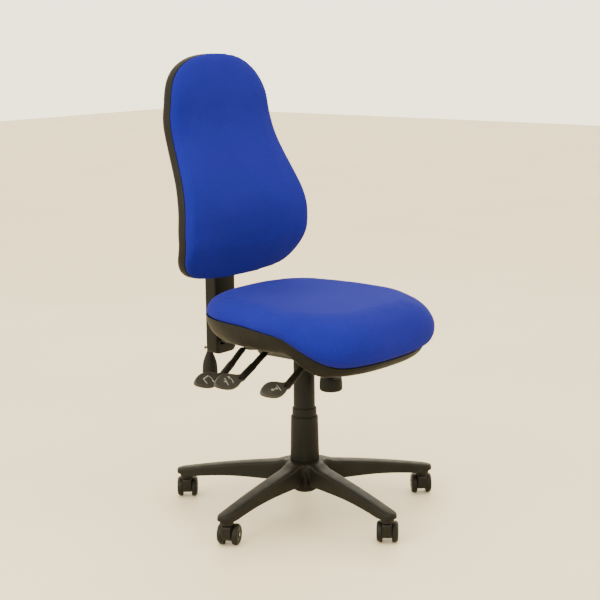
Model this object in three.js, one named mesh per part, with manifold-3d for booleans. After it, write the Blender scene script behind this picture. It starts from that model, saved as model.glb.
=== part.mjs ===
// A swivel operator chair: high contoured back, waterfall seat, three-lever
// mechanism, gas lift with telescopic covers, and a five-leg base on castors.
//
// Millimetres, +Z up. The chair faces -Y, the sitter's right is -X, and the
// floor is Z = 0. Everything is placed from the swivel axis, which stands at
// (AXIS_X, AXIS_Y) so that the origin is the middle of the whole footprint.

import * as THREE from "three";
import { mergeVertices } from "three/addons/utils/BufferGeometryUtils.js";
import Module from "manifold-3d";

const wasm = await Module();
wasm.setup();

// ---------------------------------------------------------------- dimensions

const AXIS_X = 13.5;
const AXIS_Y = -3.2;
const GAP = 0.3;

// Five-leg base
const LEG_COUNT = 5;
const FIRST_LEG = 39.8; // degrees from +X
const BASE_RADIUS = 350;
const CASTOR_RADIUS = 325;
const LEG_WIDTH = 39;
const HUB_TOP = 133;
const HUB_RADIUS = 43;
const SLEEVE_BOTTOM = 56;
const SOCKET_RADIUS = 18;
const SOCKET_BOTTOM = 56;
const STEM_TOP = 76;

// Castors
const WHEEL_RADIUS = 26;
const WHEEL_WIDTH = 15;
const WHEEL_SIDES = 16;
const CASTOR_BODY_WIDTH = 22;
const CASTOR_TRAIL = 18;
const STEM_RADIUS = 5.5;
const AXLE_RADIUS = 4;
const CASTOR_HEADINGS = [49, 39, 25, 33, 42]; // trail direction, degrees from +X

// Gas lift and its covers
const TUBE_RADIUS = 25;
const TUBE_BOTTOM = 52;
const TUBE_TOP = 262;
const TUBE_WALL = 2.5;
const CYLINDER_RADIUS = 14;
const CYLINDER_BOTTOM = 130;
const CYLINDER_TOP = 436;
const ROD_RADIUS = 5;
const ROD_BOTTOM = 50;
const PISTON = { bottom: 318, top: 330 };
const LOWER_COVER = { bottom: HUB_TOP + GAP, top: 248, foot: 37, mouth: 34.3, wall: 2.5 };
const MIDDLE_COVER = { bottom: 170, top: 270, foot: 30.7, mouth: 30.7, wall: 2.3 };
const UPPER_COVER = { bottom: 205, top: 392, foot: 27.6, mouth: 26.6, wall: 1.9 };

// Mechanism
const CHASSIS_WIDTH = 96;
const CHASSIS_BOTTOM = 402;
const CHASSIS_WALL = 3;
const CHASSIS_FRONT = -122;
const CHASSIS_REAR = 112;
const SEAT_PIVOT = { y: -60, z: 430 };
const BACK_PIVOT = { y: 72, z: 414 };
const PIVOT_RADIUS = 5;
const KNOB = { y: -86, radius: 28.5, bottom: 327, top: 360 };

// Levers, each a rod with a paddle, all on the sitter's right
const LEVERS = [
  { name: "back_lever", y: 108, z: 416, end: [-190, 372] },
  { name: "tilt_lever", y: 35, z: 422, end: [-197, 381] },
  { name: "height_lever", y: -100, z: 428, end: [-187, 380] },
];
const LEVER_ROD_RADIUS = 4;
const LEVER_START_X = -50.5;
const LEVER_BEND = { x: -108, z: 425 };
const PADDLE = { length: 98, width: 46, thickness: 9, roll: 40 };

// Seat
const SEAT_HALF_WIDTH = 245;
const SEAT_FRONT = -285;
const SEAT_REAR = 217;
const SEAT_SQUARENESS = { front: 2.6, cushionFront: 3.2, rear: 2.8 };
const SEAT_BULGE = { front: 18, frontSide: 14, rearSide: 2 };
const SEAT_TAPER = 0.05;
const SEAT_RIM_Z = 520;
const SEAT_CROWN_Z = 560;
const SEAT_FLOOR_Z = 457;
const SEAT_NOSE_Z = 408;
const SEAT_SEGMENTS = 36;

// Backrest
const BACK_BOTTOM = 590;
const BACK_TOP = 1151;
const BACK_SEGMENTS = 40;
const BACK_SHELL_DEPTH = 31;
const BACK_WALL = 3;
const HOUSING_REAR = 327;
const LUMBAR_PAD = { halfWidth: 80, halfHeight: 42, z: 702, front: 215, rear: 222 };

// Upright
const UPRIGHT = { width: 78, front: 261, rear: 299, bottom: 375, top: 770 };
const BAR = { width: 44, thickness: 12 };
const SLIDER = { bottom: 640, top: 716, wall: 6 };

// Lumbar pump: a hose hanging behind the upright, with a squeeze bulb on its end
const HOSE_RADIUS = 3;
const HOSE_POINTS = [
  [0, 312, 676], [0, 312, 655], [0, 312.2, 634], [0, 312.8, 612], [0, 313.6, 590],
  [0, 314.6, 568], [0, 315.7, 545], [0, 316.8, 522], [0, 317.9, 499], [0, 318.9, 476],
  [0, 319.8, 454], [0, 320.6, 432], [0, 321.3, 410], [0, 322, 388.3],
];
const HOSE_CLIP = { y: 312, bottom: 648, top: 664, halfWidth: 8 };
const BULB = { y: 322, top: 388, neck: 372, belly: 330, bottom: 288, radius: 20 };

// ----------------------------------------------------------------- materials

const finish = (color, roughness, metalness = 0) =>
  new THREE.MeshStandardMaterial({ color, roughness, metalness });

const NYLON = finish(0x2b2a28, 0.55);
const PLASTIC = finish(0x2a2926, 0.6);
const RUBBER = finish(0x1c1b1a, 0.8);
const STEEL = finish(0x8a8c8f, 0.35, 1);
const BLACK_STEEL = finish(0x242424, 0.5, 0.6);
const FABRIC = finish(0x2b3fb0, 0.95);
const BOARD = finish(0xb08d5e, 0.8);

// ------------------------------------------------------------------- helpers

const chair = new THREE.Group();
chair.position.set(AXIS_X, AXIS_Y, 0);

const rad = THREE.MathUtils.degToRad;
const step = (value, from, to) => THREE.MathUtils.smoothstep(value, from, to);

function add(parent, name, geometry, material) {
  const piece = new THREE.Mesh(geometry, material);
  piece.name = name;
  parent.add(piece);
  return piece;
}

// A solid of revolution about Z, from a closed [radius, z] profile.
function turned(profile, sides) {
  const points = profile.map(([radius, z]) => new THREE.Vector2(radius, z));
  points.push(points[0].clone());
  return outward(new THREE.LatheGeometry(points, sides).rotateX(Math.PI / 2));
}

// A solid of revolution whose profile starts and ends on the axis.
function turnedSolid(profile, sides) {
  const points = profile.map(([radius, z]) => new THREE.Vector2(radius, z));
  return outward(new THREE.LatheGeometry(points, sides).rotateX(Math.PI / 2));
}

// A shape drawn in the Y-Z plane, extruded along X from -width/2 to width/2.
function slabAlongX(outline, width) {
  const shape = new THREE.Shape(outline.map(([y, z]) => new THREE.Vector2(y, z)));
  const geometry = new THREE.ExtrudeGeometry(shape, { depth: width, bevelEnabled: false });
  geometry.translate(0, 0, -width / 2);
  const across = new THREE.Matrix4().makeBasis(
    new THREE.Vector3(0, 1, 0), new THREE.Vector3(0, 0, 1), new THREE.Vector3(1, 0, 0));
  return geometry.applyMatrix4(across);
}

function box(low, high) {
  const size = high.map((value, i) => value - low[i]);
  const geometry = new THREE.BoxGeometry(...size);
  return geometry.translate(...high.map((value, i) => (value + low[i]) / 2));
}

function rodAlongX(radius, length, sides = 12) {
  return new THREE.CylinderGeometry(radius, radius, length, sides).rotateZ(Math.PI / 2);
}

function rodAlongZ(radius, low, high, sides = 16) {
  const geometry = new THREE.CylinderGeometry(radius, radius, high - low, sides);
  return geometry.rotateX(Math.PI / 2).translate(0, 0, (low + high) / 2);
}

// A round bar swept along a path of points.
function sweep(points, radius, sides, steps, tension = 0.5) {
  const path = new THREE.CatmullRomCurve3(
    points.map((p) => new THREE.Vector3(...p)), false, "catmullrom", tension);
  const section = new THREE.Shape();
  section.absarc(0, 0, radius, 0, 2 * Math.PI);
  return new THREE.ExtrudeGeometry(
    section, { steps, extrudePath: path, curveSegments: sides / 2, bevelEnabled: false });
}

// A closed body through a stack of equal loops of points, with its first and
// last loops closed by a fan to their middle.
function loft(loops) {
  const count = loops[0].length;
  const vertices = loops.flat();
  const middle = (loop) =>
    loop.reduce((sum, p) => sum.add(p), new THREE.Vector3()).divideScalar(count);
  const start = vertices.push(middle(loops[0])) - 1;
  const end = vertices.push(middle(loops.at(-1))) - 1;
  const index = [];
  for (let i = 0; i < count; i += 1) {
    const j = (i + 1) % count;
    index.push(start, j, i);
    for (let k = 0; k + 1 < loops.length; k += 1) {
      const a = k * count;
      const b = a + count;
      index.push(a + i, a + j, b + j);
      index.push(a + i, b + j, b + i);
    }
    const last = (loops.length - 1) * count;
    index.push(end, last + i, last + j);
  }
  const geometry = new THREE.BufferGeometry().setFromPoints(vertices);
  geometry.setIndex(index);
  return outward(geometry);
}

// Turns a closed geometry's faces outwards.
function outward(geometry) {
  const position = geometry.getAttribute("position");
  const index = geometry.getIndex();
  const a = new THREE.Vector3();
  const b = new THREE.Vector3();
  const c = new THREE.Vector3();
  let volume = 0;
  for (let i = 0; i < index.count; i += 3) {
    a.fromBufferAttribute(position, index.getX(i));
    b.fromBufferAttribute(position, index.getX(i + 1));
    c.fromBufferAttribute(position, index.getX(i + 2));
    volume += a.dot(b.cross(c));
  }
  if (volume < 0) {
    for (let i = 0; i < index.count; i += 3) {
      const first = index.getX(i);
      index.setX(i, index.getX(i + 1));
      index.setX(i + 1, first);
    }
  }
  return geometry;
}

// Booleans, on closed geometries.
function solid(geometry) {
  const bare = geometry.clone();
  bare.deleteAttribute("normal");
  bare.deleteAttribute("uv");
  const merged = mergeVertices(bare, 1e-4);
  const keep = [];
  const index = merged.getIndex().array;
  for (let i = 0; i < index.length; i += 3) {
    const [a, b, c] = index.subarray(i, i + 3);
    if (a !== b && b !== c && c !== a) keep.push(a, b, c);
  }
  return new wasm.Manifold(new wasm.Mesh({
    numProp: 3,
    vertProperties: new Float32Array(merged.getAttribute("position").array),
    triVerts: new Uint32Array(keep),
  }));
}

function geometryOf(manifold) {
  const mesh = manifold.getMesh();
  const geometry = new THREE.BufferGeometry();
  geometry.setAttribute("position", new THREE.BufferAttribute(mesh.vertProperties, 3));
  geometry.setIndex(new THREE.BufferAttribute(mesh.triVerts, 1));
  return geometry;
}

const joined = (...pieces) => geometryOf(pieces.map(solid).reduce((all, next) => all.add(next)));
const cut = (piece, ...tools) =>
  geometryOf(tools.map(solid).reduce((rest, tool) => rest.subtract(tool), solid(piece)));

// ---------------------------------------------------------------------- base

const legTop = (r) => HUB_TOP - 0.085 * r - 0.00018 * r * r;
const legBottom = (r) => 78 - 0.00055 * Math.max(0, r - 150) ** 2;

// One leg's cross-section at radius r: a crowned top with rounded shoulders.
function legSection(r, halfWidth, top, bottom) {
  const side = [[0.45, 0], [0.8, -2.5], [1, -9], [1.06, bottom - top]];
  const right = side.map(([w, dz]) => new THREE.Vector3(r, w * halfWidth, top + dz));
  const left = side.map(([w, dz]) => new THREE.Vector3(r, -w * halfWidth, top + dz));
  return [...right, ...left.reverse()];
}

function leg() {
  const half = LEG_WIDTH / 2;
  const stations = [[20, 1.3], [80, 1.15], [150, 1.05], [220, 1], [290, 0.97], [330, 0.95]];
  const loops = stations.map(([r, w]) => legSection(r, w * half, legTop(r), legBottom(r)));
  loops.push(legSection(344, 0.72 * half, legTop(344) - 2, legBottom(330)));
  loops.push(legSection(BASE_RADIUS, 0.35 * half, legTop(350) - 8, legBottom(330) + 1));
  return loft(loops);
}

// The hollow under a leg, which leaves a skin of about 5 mm.
function legHollow() {
  const stations = [66, 150, 230, 298];
  const loops = stations.map((r) => {
    const half = LEG_WIDTH / 2 - 4;
    const roof = legTop(r) - 9;
    const floor = legBottom(r) - 12;
    return [[half - 2, roof], [-half + 2, roof], [-half, floor], [half, floor]]
      .map(([y, z]) => new THREE.Vector3(r, y, z));
  });
  return loft(loops);
}

function starBase() {
  const hub = turned([
    [TUBE_RADIUS + GAP, SLEEVE_BOTTOM], [TUBE_RADIUS + 5, SLEEVE_BOTTOM],
    [TUBE_RADIUS + 7, 76], [HUB_RADIUS + 9, 78], [HUB_RADIUS + 4, 112],
    [HUB_RADIUS - 3, HUB_TOP - 3], [HUB_RADIUS - 6, HUB_TOP], [TUBE_RADIUS + GAP, HUB_TOP],
  ], 20);
  const bore = rodAlongZ(TUBE_RADIUS + GAP, SLEEVE_BOTTOM - 5, HUB_TOP + 5, 20);
  let base = solid(hub);
  for (let i = 0; i < LEG_COUNT; i += 1) {
    const turn = rad(FIRST_LEG + (360 / LEG_COUNT) * i);
    const boss = rodAlongZ(SOCKET_RADIUS, SOCKET_BOTTOM, 74, 16).translate(CASTOR_RADIUS, 0, 0);
    const socket = rodAlongZ(STEM_RADIUS + GAP, SOCKET_BOTTOM - 5, STEM_TOP + GAP, 10)
      .translate(CASTOR_RADIUS, 0, 0);
    const arm = solid(leg()).add(solid(boss)).subtract(solid(legHollow())).subtract(solid(socket));
    base = base.add(arm.rotate(0, 0, THREE.MathUtils.radToDeg(turn)));
  }
  return geometryOf(base.subtract(solid(bore)));
}

// Castor pieces are drawn at their stem axis, rolling along X, trailing to +X.
const castorWheel = turned([
  [AXLE_RADIUS + GAP + 0.05, 0], [WHEEL_RADIUS * 0.93, 0], [WHEEL_RADIUS, 2.5],
  [WHEEL_RADIUS, WHEEL_WIDTH - 4], [WHEEL_RADIUS * 0.84, WHEEL_WIDTH],
  [AXLE_RADIUS + GAP + 0.05, WHEEL_WIDTH - 1],
].map(([r, w]) => [r / Math.cos(Math.PI / WHEEL_SIDES), w]), WHEEL_SIDES)
  .rotateZ(Math.PI / WHEEL_SIDES)
  .rotateX(-Math.PI / 2);

function castorBody() {
  const outline = [
    [-13, 54], [-13, 34], [-8, 20], [2, 12], [22, 10], [40, 15], [44, 26], [40, 40],
    [28, 50], [13, 54],
  ];
  const shape = new THREE.Shape(outline.map(([x, z]) => new THREE.Vector2(x, z)));
  const body = new THREE.ExtrudeGeometry(shape, { depth: CASTOR_BODY_WIDTH, bevelEnabled: false })
    .translate(0, 0, -CASTOR_BODY_WIDTH / 2)
    .rotateX(Math.PI / 2);
  const axleBore = new THREE.CylinderGeometry(AXLE_RADIUS + GAP, AXLE_RADIUS + GAP, 40, 10)
    .translate(CASTOR_TRAIL, 0, WHEEL_RADIUS);
  const stemBore = rodAlongZ(STEM_RADIUS + GAP, 38 - GAP, 70, 10);
  return cut(body, axleBore, stemBore);
}

function addBase() {
  add(chair, "star_base", starBase(), NYLON);
  const bodyGeometry = castorBody();
  const stemGeometry = rodAlongZ(STEM_RADIUS, 38, STEM_TOP, 10);
  const axleLength = CASTOR_BODY_WIDTH + 2 * WHEEL_WIDTH;
  const axleGeometry = new THREE.CylinderGeometry(AXLE_RADIUS, AXLE_RADIUS, axleLength, 10);
  CASTOR_HEADINGS.forEach((heading, i) => {
    const legTurn = rad(FIRST_LEG + (360 / LEG_COUNT) * i);
    const legGroup = new THREE.Group();
    legGroup.rotation.z = legTurn;
    chair.add(legGroup);
    const castor = new THREE.Group();
    castor.position.x = CASTOR_RADIUS;
    castor.rotation.z = rad(heading) - legTurn;
    legGroup.add(castor);
    const n = i + 1;
    add(castor, `castor_stem_${n}`, stemGeometry, STEEL);
    add(castor, `castor_body_${n}`, bodyGeometry, NYLON);
    add(castor, `castor_axle_${n}`, axleGeometry, STEEL)
      .position.set(CASTOR_TRAIL, 0, WHEEL_RADIUS);
    const wheelY = CASTOR_BODY_WIDTH / 2 + 2 * GAP;
    add(castor, `castor_wheel_left_${n}`, castorWheel, NYLON)
      .position.set(CASTOR_TRAIL, wheelY, WHEEL_RADIUS);
    const right = add(castor, `castor_wheel_right_${n}`, castorWheel, NYLON);
    right.position.set(CASTOR_TRAIL, -wheelY, WHEEL_RADIUS);
    right.rotation.z = Math.PI;
  });
}

// ------------------------------------------------------------------ gas lift

const coverTube = ({ bottom, top, foot, mouth, wall }) => turned([
  [foot, bottom], [mouth, top], [mouth - wall, top], [foot - wall, bottom],
], 20);

function addColumn() {
  const bore = TUBE_RADIUS - TUBE_WALL;
  add(chair, "column_tube", turned([
    [ROD_RADIUS + 1, TUBE_BOTTOM], [TUBE_RADIUS, TUBE_BOTTOM], [TUBE_RADIUS, TUBE_TOP],
    [bore, TUBE_TOP], [bore, TUBE_BOTTOM + 5], [ROD_RADIUS + 1, TUBE_BOTTOM + 5],
  ], 20), BLACK_STEEL);
  add(chair, "guide_bush", turned([
    [CYLINDER_RADIUS + GAP, 186], [bore - GAP, 186],
    [bore - GAP, TUBE_TOP], [CYLINDER_RADIUS + GAP, TUBE_TOP],
  ], 20), PLASTIC);
  add(chair, "column_cover_lower", coverTube(LOWER_COVER), PLASTIC);
  add(chair, "column_cover_middle", coverTube(MIDDLE_COVER), PLASTIC);
  const upper = UPPER_COVER;
  add(chair, "column_cover_upper", turned([
    [upper.foot, upper.bottom], [upper.mouth, upper.top],
    [CYLINDER_RADIUS + GAP, upper.top], [CYLINDER_RADIUS + GAP, upper.top - 4],
    [upper.mouth - upper.wall, upper.top - 4], [upper.foot - upper.wall, upper.bottom],
  ], 20), PLASTIC);
  add(chair, "pressure_cylinder", turned([
    [ROD_RADIUS + GAP, CYLINDER_BOTTOM], [CYLINDER_RADIUS, CYLINDER_BOTTOM],
    [CYLINDER_RADIUS, CYLINDER_TOP], [ROD_RADIUS - 1 + GAP, CYLINDER_TOP],
    [ROD_RADIUS - 1 + GAP, CYLINDER_TOP - 6], [CYLINDER_RADIUS - 2.5, CYLINDER_TOP - 6],
    [CYLINDER_RADIUS - 2.5, CYLINDER_BOTTOM + 5], [ROD_RADIUS + GAP, CYLINDER_BOTTOM + 5],
  ], 16), STEEL);
  add(chair, "piston_rod", turnedSolid([
    [0, ROD_BOTTOM], [ROD_RADIUS, ROD_BOTTOM], [ROD_RADIUS, PISTON.bottom],
    [CYLINDER_RADIUS - 3, PISTON.bottom], [CYLINDER_RADIUS - 3, PISTON.top], [0, PISTON.top],
  ], 16), STEEL);
  add(chair, "release_pin", turnedSolid([
    [0, 424], [ROD_RADIUS - 1, 424], [ROD_RADIUS - 1, 441], [0, 441],
  ], 12), STEEL);
}

// ----------------------------------------------------------------- mechanism

function chassis() {
  const outline = [
    [CHASSIS_FRONT, 412], [CHASSIS_FRONT + 14, CHASSIS_BOTTOM], [CHASSIS_REAR - 8, CHASSIS_BOTTOM],
    [CHASSIS_REAR, 408], [CHASSIS_REAR, 424], [SEAT_PIVOT.y + 12, 438], [CHASSIS_FRONT + 8, 438],
    [CHASSIS_FRONT, 430],
  ];
  const body = slabAlongX(outline, CHASSIS_WIDTH);
  const wall = CHASSIS_WALL;
  const inner = CHASSIS_WIDTH / 2 - wall;
  const tray = box([-inner, CHASSIS_FRONT + wall, CHASSIS_BOTTOM + wall],
    [inner, CHASSIS_REAR + 20, 460]);
  const hub = rodAlongZ(CYLINDER_RADIUS + 6, CHASSIS_BOTTOM, 434, 16);
  const taper = rodAlongZ(CYLINDER_RADIUS + GAP, CHASSIS_BOTTOM - 5, 460, 16);
  const knobHole = rodAlongZ(6, CHASSIS_BOTTOM - 5, 410, 12).translate(0, KNOB.y, 0);
  const barWindow = box([-BAR.width / 2 - 3, BACK_PIVOT.y - 12, CHASSIS_BOTTOM - 5],
    [BAR.width / 2 + 3, CHASSIS_REAR + 5, 460]);
  const axleHoles = [SEAT_PIVOT, BACK_PIVOT].map(({ y, z }) =>
    rodAlongX(PIVOT_RADIUS + GAP, CHASSIS_WIDTH + 10).translate(0, y, z));
  return cut(joined(cut(body, tray), hub), taper, knobHole, barWindow, ...axleHoles);
}

function spring() {
  const turns = 3.5;
  const points = [];
  const count = 28;
  for (let i = 0; i <= count; i += 1) {
    const angle = (2 * Math.PI * turns * i) / count;
    points.push([10 * Math.cos(angle), KNOB.y + 10 * Math.sin(angle), 408 + (20 * i) / count]);
  }
  return sweep(points, 1.6, 6, 28);
}

function knob() {
  const grip = turnedSolid([
    [0, KNOB.bottom], [KNOB.radius - 5, KNOB.bottom], [KNOB.radius, KNOB.bottom + 5],
    [KNOB.radius - 1.5, KNOB.top], [9, KNOB.top + 3], [5, KNOB.top + 6], [5, 432], [0, 432],
  ], 24);
  return grip.translate(0, KNOB.y, 0);
}

function addMechanism() {
  add(chair, "mechanism_chassis", chassis(), BLACK_STEEL);
  add(chair, "seat_pivot_axle", rodAlongX(PIVOT_RADIUS, 122)
    .translate(0, SEAT_PIVOT.y, SEAT_PIVOT.z), STEEL);
  add(chair, "back_pivot_axle", rodAlongX(PIVOT_RADIUS, CHASSIS_WIDTH + 6)
    .translate(0, BACK_PIVOT.y, BACK_PIVOT.z), STEEL);
  add(chair, "tension_spring", spring(), STEEL);
  add(chair, "tension_knob", knob(), PLASTIC);
  LEVERS.forEach(addLever);
}

// A lever: a steel rod leaves the chassis, bends down, and a moulded grip with
// a stepped neck and a leaf-shaped paddle is pushed over its outer part.
function addLever({ name, y, z, end: [endX, endZ] }) {
  const group = new THREE.Group();
  group.position.set(0, y, z);
  chair.add(group);
  const bend = [LEVER_BEND.x, 0, LEVER_BEND.z - z];
  const end = [endX, 0, endZ - z];
  const between = (share) => bend.map((value, i) => value + share * (end[i] - value));
  const inner = [(LEVER_START_X + bend[0]) / 2, 0, 0.6 * bend[2]];
  const path = [[LEVER_START_X, 0, 0], inner, bend, between(0.5), end];
  add(group, `${name}_rod`, sweep(path, LEVER_ROD_RADIUS, 8, 9), BLACK_STEEL);
  const slope = Math.atan2(end[2] - bend[2], end[0] - bend[0]);
  const neck = loft([
    neckSection(between(0.06), slope, 7.5, 5.6), neckSection(between(0.46), slope, 7.8, 5.8),
    neckSection(between(0.5), slope, 8.8, 6.6), neckSection(between(0.95), slope, 8.8, 6.6),
    neckSection([endX - 14, 0, end[2] - 2], Math.PI, 8, 3.5),
  ]);
  const bore = sweep(path, LEVER_ROD_RADIUS + GAP + 0.1, 8, 9);
  const tip = rodAlongX(LEVER_ROD_RADIUS + GAP, 2, 8).translate(endX - 0.5, 0, end[2]);
  add(group, `${name}_paddle`, cut(joined(paddleBlade(end), neck), bore, tip), PLASTIC);
}

// An octagon across a neck that runs along slope, in the X-Z plane.
function neckSection([x, , z], slope, halfWidth, halfThickness) {
  const corners = [[1, 0.5], [0.6, 1], [-0.6, 1], [-1, 0.5], [-1, -0.5], [-0.6, -1], [0.6, -1], [1, -0.5]];
  return corners.map(([across, up]) => new THREE.Vector3(
    x - up * halfThickness * Math.sin(slope), across * halfWidth,
    z + up * halfThickness * Math.cos(slope)));
}

// A leaf-shaped blade, rolled so that its face looks up and forward.
function paddleBlade([x, y, z]) {
  const { length, width, thickness, roll } = PADDLE;
  const half = [
    [6, 0.34], [-0.1 * length, 0.48], [-0.3 * length, 0.84], [-0.5 * length, 1],
    [-0.68 * length, 0.9], [-0.85 * length, 0.6], [-0.97 * length, 0.25],
  ].map(([along, share]) => [along, (share * width) / 2]);
  const outline = [...half, [-length, 0], ...half.map(([along, w]) => [along, -w]).reverse()];
  return new THREE.ExtrudeGeometry(
    new THREE.Shape(outline.map((point) => new THREE.Vector2(...point))),
    { depth: thickness, bevelEnabled: false })
    .translate(0, 0, -thickness / 2)
    .rotateX(rad(roll))
    .translate(x, y, z);
}

// ---------------------------------------------------------------------- seat

const SEAT_MIDDLE = (SEAT_FRONT + SEAT_REAR) / 2;
const SEAT_HALF_DEPTH = (SEAT_REAR - SEAT_FRONT) / 2;

const seatRim = (y) => SEAT_RIM_Z - 14 * step(-y, -20, 160) - 70 * step(-y, 110, 262);
const seatFloor = (y) => SEAT_FLOOR_Z - (SEAT_FLOOR_Z - SEAT_NOSE_Z) * step(-y, 110, 202);
const seatTop = (x, y) => SEAT_CROWN_Z + 4 * (1 - step(-y, 0, 250)) + 0.042 * y
  - 7 * Math.exp(-((x / 150) ** 2) - ((y - 20) / 130) ** 2);

// The seat's outline, a squared oval narrower at the back, scaled by q. It
// swells by bulge, from 0 at the shell's rim to 1 at the cushion's widest.
function seatLoop(q, height, bulge = 0) {
  const loop = [];
  const front = SEAT_SQUARENESS.front
    + bulge * (SEAT_SQUARENESS.cushionFront - SEAT_SQUARENESS.front);
  for (let i = 0; i < SEAT_SEGMENTS; i += 1) {
    const angle = (2 * Math.PI * (i + 0.5)) / SEAT_SEGMENTS;
    const c = Math.cos(angle);
    const s = Math.sin(angle);
    const power = 2 / (s < 0 ? front : SEAT_SQUARENESS.rear);
    const v = Math.sign(s) * Math.abs(s) ** power;
    const u = Math.sign(c) * Math.abs(c) ** power * (1 - SEAT_TAPER * v);
    const rimY = SEAT_MIDDLE + SEAT_HALF_DEPTH * v;
    const side = SEAT_BULGE.rearSide
      + (SEAT_BULGE.frontSide - SEAT_BULGE.rearSide) * step(-rimY, -40, 200);
    const x = q * (SEAT_HALF_WIDTH + bulge * side) * u;
    const reach = SEAT_HALF_DEPTH + (v < 0 ? bulge * SEAT_BULGE.front : 0);
    const y = SEAT_MIDDLE + q * reach * v;
    loop.push(new THREE.Vector3(x, y, height(x, y, rimY)));
  }
  return loop;
}

function seatShell() {
  const depth = (share, rise) => (x, y, rimY) =>
    seatRim(rimY) - share * (seatRim(rimY) - seatFloor(y)) + rise;
  const innerFloor = (x, y) => seatFloor(y) + 3;
  const outerFloor = (x, y) => seatFloor(y);
  return loft([
    seatLoop(0.3, innerFloor), seatLoop(0.55, innerFloor), seatLoop(0.79, innerFloor),
    seatLoop(0.85, depth(0.94, 3.2)), seatLoop(0.905, depth(0.8, 3)),
    seatLoop(0.946, depth(0.58, 2)), seatLoop(0.974, depth(0.28, 0)),
    seatLoop(0.986, depth(0, 0)), seatLoop(1, depth(0, 0)),
    seatLoop(0.988, depth(0.3, 0)), seatLoop(0.958, depth(0.58, 0)),
    seatLoop(0.914, depth(0.8, 0)), seatLoop(0.855, depth(0.94, 0)),
    seatLoop(0.79, outerFloor), seatLoop(0.55, outerFloor), seatLoop(0.3, outerFloor),
  ]);
}

function seatCushion() {
  const rim = (rise) => (x, y, rimY) => seatRim(rimY) + rise;
  const crown = (share) => (x, y, rimY) => {
    const low = seatRim(rimY);
    return low + share * (seatTop(x, y) - low);
  };
  return loft([
    seatLoop(0.3, () => 471), seatLoop(0.82, () => 471), seatLoop(0.9, rim(-8)),
    seatLoop(0.975, rim(0.8)), seatLoop(1, rim(3), 0.25), seatLoop(1, crown(0.2), 0.85),
    seatLoop(1, crown(0.4), 1), seatLoop(0.98, crown(0.62), 1), seatLoop(0.94, crown(0.8), 1),
    seatLoop(0.87, crown(0.93), 1), seatLoop(0.72, crown(1), 1), seatLoop(0.4, crown(1), 1),
  ]);
}

function seatPlate() {
  const plate = box([-100, -110, 446], [100, 105, 450]);
  const riser = box([-70, -85, 450], [70, 95, 456.6]);
  const ear = (x) => box([x - 1.5, SEAT_PIVOT.y - 11, SEAT_PIVOT.z - 11],
    [x + 1.5, SEAT_PIVOT.y + 11, 448]);
  const hole = rodAlongX(PIVOT_RADIUS + GAP, 140).translate(0, SEAT_PIVOT.y, SEAT_PIVOT.z);
  const window = box([-30, -40, 440], [30, 60, 460]);
  return cut(joined(plate, riser, ear(56), ear(-56)), hole, window);
}

function addSeat() {
  add(chair, "seat_plate", seatPlate(), BLACK_STEEL);
  add(chair, "seat_shell", seatShell(), PLASTIC);
  const level = (z) => () => z;
  add(chair, "seat_board", loft([
    seatLoop(0.3, level(460.4)), seatLoop(0.78, level(460.4)),
    seatLoop(0.78, level(470.6)), seatLoop(0.3, level(470.6)),
  ]), BOARD);
  add(chair, "seat_cushion", seatCushion(), FABRIC);
}

// ------------------------------------------------------------------ backrest

// Right half of the back's outline, bottom to top, as [x, z].
const BACK_HALF_OUTLINE = [
  [0, BACK_BOTTOM], [104, 593], [178, 607], [218, 645], [231, 708], [226, 772], [208, 850],
  [193, 930], [185, 1000], [170, 1067], [139, 1112], [82, 1142], [0, BACK_TOP],
];
const BACK_MIDDLE = 850;

const backRim = (z) => 181 + 33 * (1 - step(z, 590, 700)) + 87 * step(z, 740, 1020)
  + 18 * step(z, 1020, 1151);
const lumbar = (z, spread) => Math.exp(-(((z - 705) / spread) ** 2));
const across = (x) => 1 - Math.min(1, (x / 222) ** 2);
const boardFront = (x, z) => backRim(z) + 9 + (12 + 28 * lumbar(z, 95)) * across(x);
const shellRear = (x, z) => boardFront(x, z) + 16;

const backOutline = (() => {
  const right = BACK_HALF_OUTLINE.map(([x, z]) => new THREE.Vector3(x, 0, z));
  const left = BACK_HALF_OUTLINE.slice(1, -1).reverse()
    .map(([x, z]) => new THREE.Vector3(-x, 0, z));
  const curve = new THREE.CatmullRomCurve3([...right, ...left], true);
  return curve.getSpacedPoints(BACK_SEGMENTS).slice(0, -1);
})();

// The back's outline scaled by q, at depth(x, z, rimZ).
function backLoop(q, depth) {
  return backOutline.map((p) => {
    const x = q * p.x;
    const z = BACK_MIDDLE + q * (p.z - BACK_MIDDLE);
    return new THREE.Vector3(x, depth(x, z, p.z), z);
  });
}

const rimDepth = (offset) => (x, z, rimZ) => backRim(rimZ) + offset;
const rearDepth = (offset) => (x, z) => shellRear(x, z) + offset;

const shellOuter = (grow) => [
  backLoop(1, rimDepth(20)), backLoop(0.968, rimDepth(BACK_SHELL_DEPTH - 3 + grow)),
  backLoop(0.9, rearDepth(grow)), backLoop(0.65, rearDepth(grow)), backLoop(0.3, rearDepth(grow)),
];

function backShell() {
  return loft([
    backLoop(0.3, rearDepth(-BACK_WALL)), backLoop(0.65, rearDepth(-BACK_WALL)),
    backLoop(0.89, rearDepth(-BACK_WALL)), backLoop(0.955, rimDepth(25)),
    backLoop(0.985, rimDepth(17)), backLoop(0.987, rimDepth(0)), backLoop(1, rimDepth(0)),
    ...shellOuter(0),
  ]);
}

// Everything in front of the shell's rear face, to trim the pieces behind it.
const shellEnvelope = () => loft([backLoop(1, () => 100), ...shellOuter(GAP + 0.2)]);

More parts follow.
